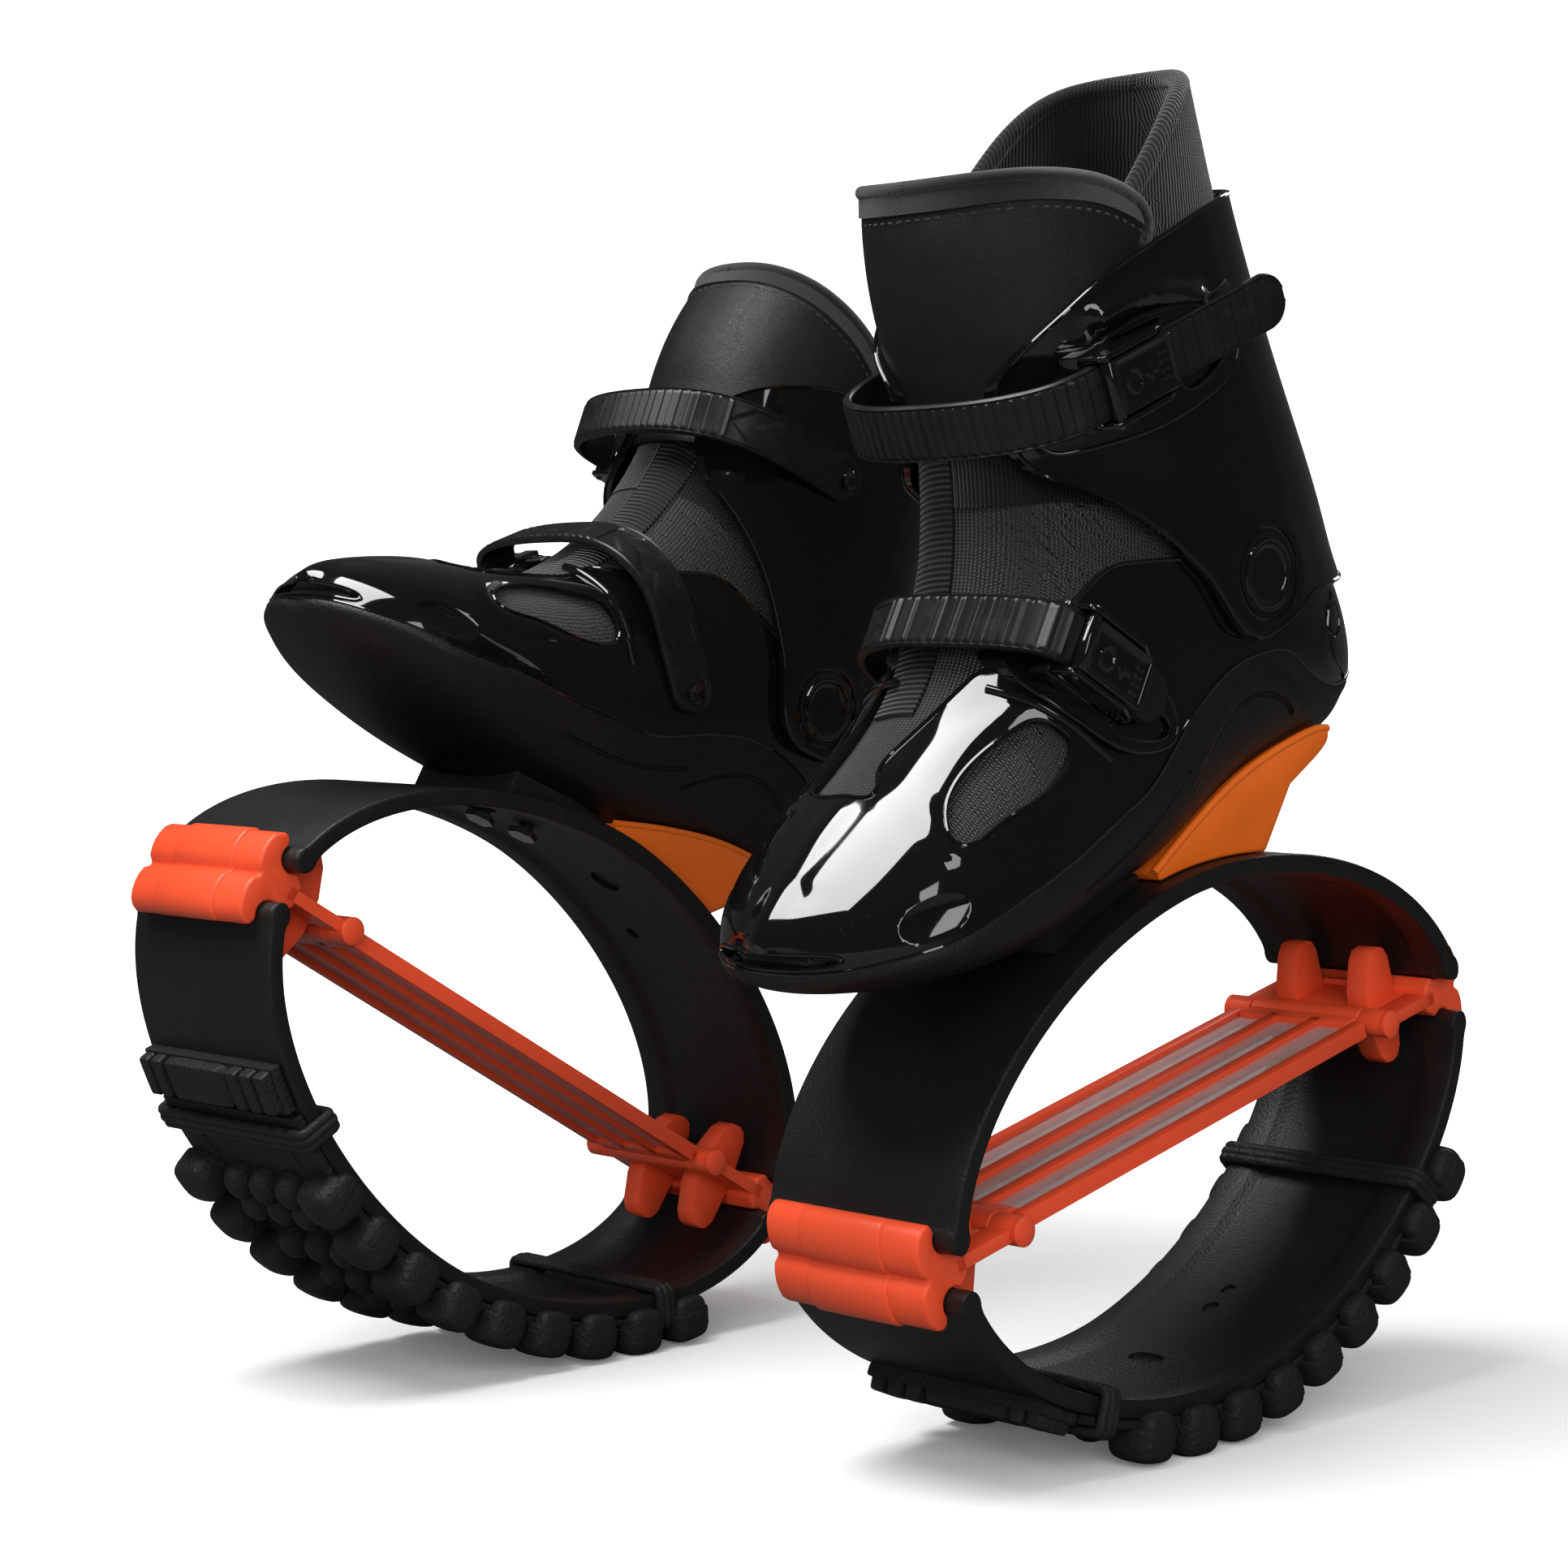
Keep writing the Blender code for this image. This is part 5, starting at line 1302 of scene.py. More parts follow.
def clip_mesh(upper, lower, facing):
    """A clip with its lobes, plate, tabs and arms."""
    outline, bead = clip_outline(upper, lower, facing)
    half = CLIP_WIDTH / 2
    thick = CLIP_PLATE[2]
    body = bevelled(prism(outline, -half, half), 0.0018, 3, 50)
    swollen = [(a + facing * 0.0011, b * 1.03) if facing * (a - bead.x) > 0.001 else (a, b)
               for a, b in outline]
    middle = bevelled(prism(swollen, -CLIP_MIDDLE, CLIP_MIDDLE), 0.0012, 3, 50)
    web = bead.x - facing * CLIP_WEB
    inside, plate_end, pin = web + facing * BEAD_RADIUS, web - facing * CLIP_PLATE[0], facing * PIN_REACH

    def slab(end, low, high):
        """Flat plate from inside the clip to a place along the boot."""
        return prism([(inside, -thick), (inside, thick), (end, thick), (end, -thick)], low, high)

    parts = [body, middle, bevelled(slab(plate_end, -CLIP_PLATE[1], CLIP_PLATE[1]), 0.0006)]
    for side in (-1, 1):
        low, high = sorted((side * half, side * (half - ARM_WIDTH)))
        knuckle = turned([(0, PIN_HEAD), (high - low, PIN_HEAD)], 40)
        arm = union(slab(pin, low, high), moved(knuckle, Matrix.Translation((low, pin, 0))))
        parts.append(bevelled(arm, 0.0006, 2, 50))
        for way in (-1, 1):
            line = [(plate_end + facing * CLIP_TAB[0] * a, way * CLIP_TAB[1] * b) for a, b in TAB]
            centre = side * 0.017
            parts.append(bevelled(prism(line, centre - 0.005, centre + 0.005), 0.0009, 2, 40))
    return joined(*parts)


def pin_mesh(facing):
    """A clip pin with a domed head at each end."""
    inner = CLIP_WIDTH / 2
    half = [(inner + 0.0029, 0.0012), (inner + 0.0028, PIN_HEAD * 0.8), (inner + 0.0022, PIN_HEAD),
            (inner + GAP, PIN_HEAD), (inner + GAP, 0.003)]
    profile = [(-x, r) for x, r in half] + half[::-1]
    return moved(turned(profile, 40), Matrix.Translation((0, facing * PIN_REACH, 0)))


def spring_meshes():
    """The tension spring's ribs and knuckles, and its webs."""
    reach = PIN_REACH - 0.0075
    tall, wide = RIB_SIZE
    waist = wide * 0.8
    outline = [(-wide, -tall), (wide, -tall), (waist, 0.0), (wide, tall), (-wide, tall), (-waist, 0.0)]
    ribs = []
    for i in range(4):
        centre = -SPRING_HALF + wide + i * (2 * SPRING_HALF - 2 * wide) / 3
        grid = np.array([[(centre + a, y, b) for a, b in outline] for y in (-reach, reach)])
        ribs.append(bevelled(loft(grid, ends="cap"), 0.0005, 2, 25))
    half = CLIP_WIDTH / 2 - ARM_WIDTH - 0.0005
    knuckle = [(half, 0.0048), (half - 0.0006, PIN_HEAD)]
    for facing in (-1, 1):
        pin, root = facing * PIN_REACH, facing * (reach - 0.004)
        plate = prism([(root, -tall), (root, tall), (pin, tall), (pin, -tall)], -half, half)
        ribs.append(bevelled(plate, 0.0008, 2, 50))
        barrel = turned([(-x, r) for x, r in knuckle] + knuckle[::-1], 32)
        ribs.append(moved(barrel, Matrix.Translation((0, pin, 0))))
    x, z = SPRING_HALF - 0.0008, 0.0008
    web = np.array([[(-x, y, -z), (x, y, -z), (x, y, z), (-x, y, z)] for y in (-reach, reach)])
    return joined(*ribs), loft(web, ends="cap")


class BOOTS_OT_ring(bpy.types.Operator):
    """Make the bows, clips, pins and tension spring"""

    bl_idname = "boots.ring"
    bl_label = "Ring"

    def execute(self, context):
        upper, lower = Bow(RING_UP), Bow(-RING_DOWN)
        top = cut(bow_mesh(upper), *bow_cutters(upper, UPPER_RECESSES))
        low = cut(bow_mesh(lower), *bow_cutters(lower, LOWER_RECESSES))
        squash_bow(set_piece("upper_arc", top, "matte_black", "boots", ["upper_bow"]))
        squash_bow(set_piece("lower_arc", low, "matte_black", "ring_base", ["lower_bow"]))
        for name, facing in (("front", 1), ("rear", -1)):
            clip = clip_mesh(upper, lower, facing)
            set_piece(name + "_end_clip", clip, "spring_orange", "ring_waist", [name + "_clip"])
            pin = pin_mesh(facing)
            set_piece(name + "_end_pin", pin, "spring_orange", "ring_waist", [name + "_clip_pin"])
            steel_node(name + "_mounting_bolt")
        ribs, webs = spring_meshes()
        set_piece("spring_ribs", ribs, "spring_orange", "ring_waist", ["tension_spring"])
        set_piece("spring_webs", webs, "film", "ring_waist")
        return {"FINISHED"}


# Tread
def pebble(length, width, height, crown=0.28):
    """A rounded stud, its seat at z 0 and its crown at its height, more square with a higher crown."""
    bm = bmesh.new()
    bmesh.ops.create_cube(bm, size=1.0)
    for vert in bm.verts:
        x, y, z = (0.92, 0.90, height) if vert.co.z > 0 else (1.0, 1.0, 0.0)
        vert.co = Vector((vert.co.x * width * x, vert.co.y * length * y, z))
    mesh = from_bmesh(bm)
    crease = mesh.attributes.new("crease_edge", "FLOAT", "EDGE")
    for edge in mesh.edges:
        low = all(mesh.vertices[i].co.z == 0 for i in edge.vertices)
        crease.data[edge.index].value = 0.9 if low else crown
    return modified(mesh, "SUBSURF", levels=3, render_levels=3)


class BOOTS_OT_tread(bpy.types.Operator):
    """Make the rubber tread with its studs, loops and ribbed block"""

    bl_idname = "boots.tread"
    bl_label = "Tread"

    def execute(self, context):
        bow = Bow(-RING_DOWN)
        reach = bow.half - 1.75 * BEAD_RADIUS
        rear, front = -reach * 15 / 22, reach * 13 / 22
        parts = [self.base(bow, rear, front), *self.studs(bow)]
        for length in (rear + reach / 22, front - reach / 22):
            parts += self.loops(bow, length)
        parts += self.block(bow, -rear - 0.0038)
        for side in (-1, 1):
            views = [bow.view(length, TREAD_INNER + TREAD_BASE)
                     for length in np.linspace(rear + 0.012, front - 0.012, 90)]
            line = [view @ Vector((side * SIDE_RIB_OUT, 0, 0)) for view in views]
            parts.append(tube([(line, False)], 0.0009, "tread_rubber", 8))
        items = set_piece("rubber_tread", joined(*parts), "tread_rubber", "ring_base", ["tread"])
        squash_bow(items)
        return {"FINISHED"}

    def base(self, bow, rear, front):
        """The tread's thin base."""
        stations = np.linspace(rear, front, 110)
        section = band_section(BOW_WIDTH / 2, TREAD_INNER, TREAD_INNER + TREAD_BASE, 0.0010)
        return band(bow, stations, [section] * len(stations))

    def studs(self, bow):
        """Rows of side studs, oval studs and the wings above the side studs."""
        sides, ovals, wings = [], [], []
        for row in range(-5, 4):
            length = row * STUD_PITCH - 0.0033
            shift = OVAL_SHIFT if row < 3 else 0.0
            view = bow.view(length, TREAD_INNER + STUD_SINK)
            between = bow.view(length + shift, TREAD_INNER + STUD_SINK)
            upturned = bow.view(length, TREAD_INNER + WING_RISE)
            for side in (-1, 1):
                sides.append((view @ Matrix.Translation((side * SIDE_STUD_OUT, 0, 0)), (1, 1, 1)))
                wing = Matrix.Translation((side * WING_OUT, 0, 0)) @ Matrix.Rotation(math.pi, 4, "X")
                wings.append((upturned @ wing, (1, 1, 1)))
            for place in (-1, 0, 1):
                ovals.append((between @ Matrix.Translation((place * OVAL_PITCH, 0, 0)), (1, 1, 1)))
        return [repeated(pebble(*SIDE_STUD), sides, "tread_rubber"),
                repeated(pebble(*OVAL_STUD, 0.06), ovals, "tread_rubber"),
                repeated(pebble(*WING), wings, "tread_rubber")]

    def loops(self, bow, length):
        """Three cords round the bow and the tread, at one end of the tread."""
        section = band_section(BOW_WIDTH / 2 + 0.0024, -0.0024, BOW_THICKNESS + 0.0058, 0.0026)
        section = rounded(section, 1, True)
        cords = []
        for shift, radius in CORDS:
            view = bow.view(length + shift)
            line = [view @ Vector((x, 0, z)) for x, z in section]
            cords.append(tube([(line, True)], radius, "tread_rubber", 10))
        return cords

    def block(self, bow, centre):
        """Ribbed block at the front of the tread, and its base."""
        view = bow.view(centre, BOW_THICKNESS)
        ribs = [(view @ Matrix.Translation((share * 0.041, 0, 0)), (width / 0.01, 1, 1))
                for share, width in BLOCK_RIBS]
        stations = np.linspace(centre - 0.0088, centre + 0.0086, 8)
        section = band_section(0.0415, BOW_THICKNESS, BOW_THICKNESS + 0.0048, 0.0012)
        return [repeated(pebble(*BLOCK_RIB, 0.5), ribs, "tread_rubber"),
                band(bow, stations, [section] * len(stations))]


# Boot
def relief_shell(x, f, u):
    """How far out each place of the shell's skin stands."""
    window = depth_in(side_line(WINDOW, closed=True), f, u)
    nose = np.clip((f - 0.080) / 0.05, 0, 1)
    ridge = nose * nose * (3 - 2 * nose) * np.exp(-(x / 0.0060) ** 2) * (u > up(0.09))
    sides = (0.0009 * ramp(depth_in(HEEL_PLATE, f, u), 0.005)
             + 0.0012 * np.exp(-((window - 0.0030) / 0.0035) ** 2)
             + 0.0013 * line_mask(rounded(TOE_CHEEK, 2), f, u, 0.0042))
    return on_sides(x, 1, -1) * sides + sizes().ridge * ridge


def relief_sole(x, f, u):
    """How far out each place of the sole's skin stands."""
    above = rounded([(a, b + 0.0055) for a, b in SOLE_SWEEP], 2)
    sides = (0.0014 * line_mask(above, f, u, 0.0034)
             + 0.0010 * line_mask(side_line(BOUNDARY, -0.0024), f, u, 0.0028))
    return on_sides(x, 1, -1) * sides


def relief_cuff(x, f, u):
    """How far out each place of the cuff's skin stands."""
    hub = np.hypot(f - PIVOT[0], u - PIVOT[1])
    ring = 0.0006 * np.exp(-((hub - 0.0205) / 0.0050) ** 2)
    return on_sides(x, 1) * 0.0042 * line_mask(rounded(CRESCENT, 2), f, u, 0.0044) + on_sides(x, 1, -1) * ring


def skin_mesh(skin, relief, first=0.0, steps=13, sides=150):
    """Closed form with its relief."""
    grid = form_points(skin, first, steps, sides)
    amount = relief(*grid.reshape(-1, 3).T).reshape(*grid.shape[:2], 1)
    return loft(grid + grid_normals(grid) * amount)


def layer(skin, first, steps, sides, back=None):
    """Closed form from a row of its table up, with a skin of its own at the back."""
    return loft(form_points(skin, first, steps, sides, back))


def skin_spot(tree, side, f, u):
    """Place on a skin seen from the side, and the skin's way out there."""
    return tree.ray_cast(Vector((side * 0.2, f, u)), Vector((-side, 0, 0)))[:2]


def traced(tree, line, side, lift=0.0):
    """Places on a skin along a side view line, lifted off it, but not on the boot's middle."""
    spots = [skin_spot(tree, side, f, u) for f, u in line]
    return [spot + normal * lift for spot, normal in spots if spot is not None and abs(spot.x) > 0.004]


def bead(places, closed, step, radius, sides, finish="gloss_black", rounds=4):
    """Round cord along smoothed places."""
    return tube([(evened(places, closed, step, rounds), closed)], radius, finish, sides)


def scored(mesh, tree, radius, *lines, closed=False):
    """Mesh with grooves along side view lines, on both sides."""
    for side in (-1, 1):
        for line in lines:
            mesh = cut(mesh, bead(traced(tree, line, side), closed, 0.0012, radius, 8, rounds=3))
    return mesh


def dimple(spot, normal, lift, size):
    """Ellipsoid over a place on a skin, its long axis forward, to cut a dish."""
    along = Vector((0, 1, 0)) - normal * normal.y
    along.normalize()
    matrix = Matrix((along, normal.cross(along), normal)).transposed().to_4x4()
    matrix.translation = spot + normal * lift
    bm = bmesh.new()
    bmesh.ops.create_uvsphere(bm, u_segments=48, v_segments=24, radius=1.0)
    bmesh.ops.transform(bm, matrix=matrix @ Matrix.Diagonal((*size, 1)), verts=bm.verts)
    return outward(from_bmesh(bm))


def leaf_mesh(leaf, dish, skin, first, name):
    """A raised leaf-shaped seat that follows the skin, with a dish, and a flat where the buckle sits."""
    def outline(line, lift, step, radius, sides):
        """Rounded bead along a side view outline on the seat."""
        flat = evened([(a, b, 0) for a, b in line], True, 0.0015)[:, :2]
        return bead(traced(tree, flat, 1, lift), True, step, radius, sides, rounds=2)

    leaf, dish = rounded(leaf, 3, True), rounded(dish, 3, True)
    raised = layer(skin + LEAF_RISE, first, 10, 120)
    tree = tree_of(raised)
    body = within(raised, prism(leaf, 0.004, REACH))
    hollow = cut(prism(dish, 0.004, REACH), layer(skin + LEAF_RISE - DISH_DEPTH, first, 10, 120))
    body = cut(body, layer(skin - 0.0016, first, 8, 96), hollow)
    view = StrapPlan(name).view()
    (start, end), half, face = PAD_LENGTH, PAD_HALF, pad_face(name)
    corners = (start, -half), (end, -half), (end, half), (start, half)
    seat = [(view @ Vector((a, b, 0)))[1:] for a, b in corners]
    body = cut(body, prism(seat, face, REACH))
    pad = bevelled(prism(seat, face - 0.008, face), 0.0006)
    return [body, pad, outline(leaf, -0.0007, 0.0016, 0.0011, 12), outline(dish, -0.0004, 0.0014, 0.0006, 8)]


def reach_prism(line):
    """Prism of a side view line, wider than the boot."""
    return prism(line, -REACH, REACH)


def pad_face(name):
    """How far out the face under a buckle lies."""
    low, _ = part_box(f"left_{name}_buckle_base")
    return low.x - shoe_matrix("left").translation.x - GAP


def disc_mesh(side):
    """A cuff pivot's disc with its rounded rim and shallow dish."""
    low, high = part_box(f"left_cuff_pivot_{'outer' if side > 0 else 'inner'}")
    centre = shoe_matrix("left").translation.x
    face = max(abs(low.x - centre), abs(high.x - centre))
    r = PIVOT_RADIUS
    depths = ((0.006, r * 0.4), (0.006, r), (0.0006, r), (0.0001, r - 0.0006), (0.0, r - 0.0014),
              (0.0001, r - 0.0022), (0.0009, r - 0.0030), (0.0010, r * 0.45), (0.0009, r * 0.1))
    mesh = turned([(face - depth, radius) for depth, radius in depths])
    mesh = moved(mesh, Matrix.Translation((0, *PIVOT)))
    return mesh if side > 0 else outward(moved(mesh, Matrix.Diagonal((-1, 1, 1, 1))))


class BOOTS_OT_shell(bpy.types.Operator):
    """Make the gloss shell with its windows, vents and seats"""

    bl_idname = "boots.shell"
    bl_label = "Shell"

    def execute(self, context):
        skin = skin_mesh(0.0, relief_shell)
        tree = tree_of(skin)
        shell = within(skin, reach_prism(side_line(BOUNDARY, GAP) + side_line(SHELL_TOP)))
        window, slot = reach_prism(side_line(WINDOW, closed=True)), reach_prism(rounded(TOE_SLOT, 2, True))
        shell = cut(shell, layer(-SHELL_WALL, 1.0, 6, 72), window, slot, self.vamp())
        rim = rim_of(shell, skin, sizes().rim, "gloss_black")
        shell = scored(shell, tree, 0.0009, rounded(HEEL_PLATE[1:-1], 2))
        shell = scored(shell, tree, 0.0010, circle(HEEL_SCREW, SCREW_RADIUS, 40), closed=True)
        for side in (-1, 1):
            spot, normal = skin_spot(tree, side, *OVAL_PLACE)
            for lift, size in ((0.0004, OVAL_SIZE), (0.0002, OVAL_INNER)):
                shell = cut(shell, dimple(spot, normal, lift, size))
        parts = leaf_mesh(LOWER_LEAF, LOWER_LEAF_DISH, 0.0, 0.0, "lower")
        parts.append(bead(traced(tree, rounded(FIN, 3), 1, 0.0002), False, 0.0012, FIN_RADIUS, 12))
        for shift, lift in GUIDES:
            line = rounded([(a + shift, b + lift) for a, b in FIN], 3)
            parts.append(bead(traced(tree, line, -1), False, 0.0012, GUIDE_RADIUS, 12))
        set_piece("gloss_shell", joined(shell, rim, *parts), "gloss_black", "boots", ["shell"])
        for side, node in ((1, "outer"), (-1, "inner")):
            set_piece(f"pivot_disc_{node}", disc_mesh(side), "gloss_black", "boots", [f"cuff_pivot_{node}"])
        return {"FINISHED"}

    def vamp(self):
        """Prism of the opening over the instep, seen from above."""
        outline = rounded([(fwd(b), a) for a, b in VAMP], 2, True)
        swap_axes = Matrix(((0, 0, 1, 0), (0, 1, 0, 0), (1, 0, 0, 0), (0, 0, 0, 1)))
        return outward(moved(prism(outline, 0.14, 0.30), swap_axes))


class BOOTS_OT_cuff(bpy.types.Operator):
    """Make the gloss cuff"""

    bl_idname = "boots.cuff"
    bl_label = "Cuff"

    def execute(self, context):
        skin = skin_mesh(CUFF_SKIN, relief_cuff, LEG_ROW, steps=14, sides=240)
        cuff = within(skin, reach_prism(side_line(CUFF_FRONT) + side_line(CUFF_BACK)[:-1]))
        cuff = cut(cuff, layer(CUFF_CLEARANCE, LEG_ROW, 6, 72))
        hole = turned([(-0.05, PIVOT_RADIUS + GAP), (0.05, PIVOT_RADIUS + GAP)])
        for side in (-1, 1):
            cuff = cut(cuff, moved(hole, Matrix.Translation((side * 0.085, *PIVOT))))
        rim = rim_of(cuff, skin, sizes().rim, "gloss_black")
        cuff = scored(cuff, tree_of(skin), 0.0009, circle(PIVOT, PIVOT_GROOVE, 60), closed=True)
        parts = leaf_mesh(UPPER_LEAF, UPPER_LEAF_DISH, CUFF_SKIN, LEG_ROW, "upper")
        set_piece("gloss_cuff", joined(cuff, rim, *parts), "gloss_black", "cuff_set", ["cuff"])
        return {"FINISHED"}


class BOOTS_OT_sole(bpy.types.Operator):
    """Make the sole and the wedge under its heel"""

    bl_idname = "boots.sole"
    bl_label = "Sole and wedge"

    def execute(self, context):
        self.sole()
        self.wedge()
        return {"FINISHED"}

    def foot(self, places, count):
        """Line over the upper bow's outer face, a gap above it."""
        upper = Bow(RING_UP)
        return [tuple(upper.at_fwd(place, BOW_THICKNESS + GAP)) for place in np.linspace(*places, count)]

    def sole(self):
        """Moulded tray, hollow where the boot sits, with its saddle on the bow."""
        ground = CROWN - 0.007
        wedge_top = side_line(WEDGE_TOP)
        outline = side_line(BOUNDARY)
        outline += [(outline[-1][0], ground), (wedge_top[-1][0] - GAP, ground)]
        outline += [(a, b + GAP) for a, b in reversed(wedge_top)]
        outline += [(wedge_top[0][0] + GAP, ground), (outline[0][0], ground)]
        skin = skin_mesh(0.0, relief_sole)
        tray = cut(within(skin, reach_prism(outline)), layer(-SHELL_WALL, 1.0, 6, 72))
        tray = scored(tray, tree_of(skin), 0.0012, rounded(SOLE_CREASE), rounded(SOLE_SWEEP))
        foot = self.foot(SADDLE, 12)
        top = [(foot[i][0], CROWN + 0.004) for i in (-1, 0)]
        saddle = bevelled(prism(foot + top, -SADDLE_HALF, SADDLE_HALF), 0.0008)
        set_piece("moulded_sole", joined(tray, saddle), "matte_black", "boots", ["sole_base"])

    def wedge(self):
        """Wedge between the sole and the upper bow, with beads along its upper edges."""
        top = side_line(WEDGE_TOP)
        tail = side_line(WEDGE_TOP[-1:] + WEDGE_TAIL)[1:]
        body = bevelled(prism(top + tail + self.foot(WEDGE_FOOT, 14), -WEDGE_HALF, WEDGE_HALF), 0.0014, 3, 50)
        inset = WEDGE_HALF - 0.0012
        lips = [(evened([(x, *place) for place in top], False, 0.002), False) for x in (-inset, inset)]
        edges = tube(lips, 0.0016, "wedge_orange", 10)
        set_piece("orange_wedge", joined(body, edges), "wedge_orange", "boots", ["wedge"])


class BOOTS_OT_liner(bpy.types.Operator):
    """Make the liner: foot, ribbon, footbed, collar and tongue"""

    bl_idname = "boots.liner"
    bl_label = "Liner"

    def execute(self, context):
        self.foot()
        self.ribbon()
        self.footbed()
        self.collar()
        self.tongue()
        return {"FINISHED"}

    def foot(self):
        """Mesh foot of the liner, open at its top."""
        split = [(a - 0.010, b - 0.004) for a, b in side_line(COLLAR_BOTTOM)]
        low, high, toe = CROWN - 0.004, up(0.60), fwd(1) + 0.004
        outline = [(fwd(0.72), high), (fwd(0.56), high)] + split[6:]
        outline += [(split[-1][0], low), (toe, low), (toe, high)]
        foot = within(layer(LINER_SKIN, 1.0, 8, 96), reach_prism(outline))
        foot = cut(foot, layer(LINER_SKIN - LINER_WALL, 2.0, 5, 64))
        surface_weave(foot, LINER_SKIN, 1.0)
        items = set_padded("mesh_liner", foot, "air_mesh", "boots", 0.9, replaces=["liner_foot"], smooth=50,
                           ride=False)
        bend_at_ankle(items)

    def ribbon(self):
        """Ribbed ribbon up the instep, a strip of the form beside its middle line."""
        top = form_points(LINER_SKIN + 0.0010, 6.7, 10, 180)[:94]
        middle = top.shape[1] // 2
        xs = np.linspace(RIBBON_MIDDLE - RIBBON_HALF, RIBBON_MIDDLE + RIBBON_HALF, 9)
        strip = []
        for row in top[:, middle - 24:middle + 25]:
            row = row[np.argsort(row[:, 0])]
            strip.append(np.stack([np.interp(xs, row[:, 0], row[:, k]) for k in range(3)], 1))
        strip = np.array(strip)
        rows, columns = strip.shape[:2]
        lengths = np.linalg.norm(np.diff(strip[:, 4], axis=0), axis=1)
        steps = np.concatenate([[0], np.cumsum(lengths)])
        ribbon = mesh_from(strip.reshape(-1, 3), grid_faces(rows, columns))
        along, aside = np.repeat(steps, columns), strip[:, :, 0].ravel()
        give_weave(ribbon, np.stack([along, aside, np.zeros(rows * columns)], 1))
        ribbon = modified(ribbon, "SOLIDIFY", thickness=0.0013, offset=0.0)
        items = set_piece("instep_ribbon", ribbon, "ribbon", "boots", smooth=50, ride=False)
        bend_at_ankle(items)

    def footbed(self):
        """Insole on the floor of the liner."""
        skin = LINER_SKIN - 0.0053
        line = form_points(skin - 0.005, 3.0, 6, 8)[:61, 0, 1:].tolist()
        under = [(line[-1][0], CROWN), (line[0][0], CROWN)]
        slab = within(layer(skin, 2.0, 6, 72), reach_prism(line + under))
        surface_weave(slab, skin, 2.0)
        set_padded("insole", slab, "knit_lining", "boots", 1.0, replaces=["footbed"], smooth=50)

    def collar(self):
        """Padded collar with its rolled edge."""
        skin = TONGUE_SKIN - TONGUE_THICKNESS - GAP
        outer = layer(skin, LEG_ROW, 14, 128, TONGUE_SKIN)
        inner = layer(skin - COLLAR_WALL, LEG_ROW, 10, 96, TONGUE_SKIN - COLLAR_WALL)
        top = side_line(COLLAR_TOP)
        wall = cut(within(outer, reach_prism(side_line(COLLAR_BOTTOM) + top)), inner)
        surface_weave(wall, skin, LEG_ROW)
        set_padded("padded_collar", wall, "knit_lining", "cuff_set", 1.0, replaces=["liner_collar"],
                   smooth=50)
        middle = layer(skin - COLLAR_WALL / 2, LEG_ROW, 14, 160, TONGUE_SKIN - COLLAR_WALL / 2)
        crest = within(middle, reach_prism(top + [(fwd(0.72), up(1.2)), (fwd(-0.05), up(1.2))]))
        places, closed = longest_line(crest, middle)
        roll = bead(places, closed, 0.0022, COLLAR_WALL * 0.60, 20, "knit_lining", rounds=8)
        surface_weave(roll, skin, LEG_ROW)
        set_padded("collar_roll", roll, "knit_lining", "cuff_set", 1.0, smooth=60)

    def tongue(self):
        """Leather panel with its bound top edge and stitches."""
        skin = layer(TONGUE_SKIN, LEG_ROW, 14, 128)
        inner = layer(TONGUE_SKIN - TONGUE_THICKNESS, LEG_ROW, 10, 96)
        line = side_line(TONGUE)
        panel = cut(within(skin, reach_prism(line)), inner)
        set_padded("leather_tongue", panel, "leather", "cuff_set", 0.9, replaces=["tongue"], smooth=50)
        top = [(a, b) for a, b in line if b > up(0.862)]
        strip = top + [(a, b - 0.0085) for a, b in reversed(top)]
        edging = cut(within(layer(TONGUE_SKIN + 0.0009, LEG_ROW, 14, 128), reach_prism(strip)), inner)
        path = self.crossing(panel, skin, up(0.80))
        self.sewn("binding", joined(edging, tube([(path, False)], 0.0025, "thread", 14)))
        lowered = [(a, b - 0.0110) for a, b in top]
        above = within(skin, reach_prism(lowered + [(fwd(0.72), up(1.1)), (lowered[0][0], up(1.1))]))
        seam = self.crossing(above, skin, up(0.74))
        dashes = [(seam[i:i + 2] + np.array((0, 0.0002, 0)), False) for i in range(0, len(seam) - 2, 2)]
        self.sewn("stitches", tube(dashes, 0.00045, "thread", 6))

    def sewn(self, name, mesh):
        """Set a thread piece of the tongue in place."""
        surface_weave(mesh, TONGUE_SKIN, LEG_ROW)
        set_piece(f"tongue_{name}", mesh, "thread", "cuff_set", smooth=60)

    def crossing(self, mesh, skin, low):
        """Smooth line, from side to side, where a cut panel's top edge meets the skin."""
        path = [point for point in evened(*longest_line(mesh, skin), 0.0018, 6) if point[2] > low]
        path.sort(key=lambda point: point[0])
        return evened(path, False, 0.0021, 8)


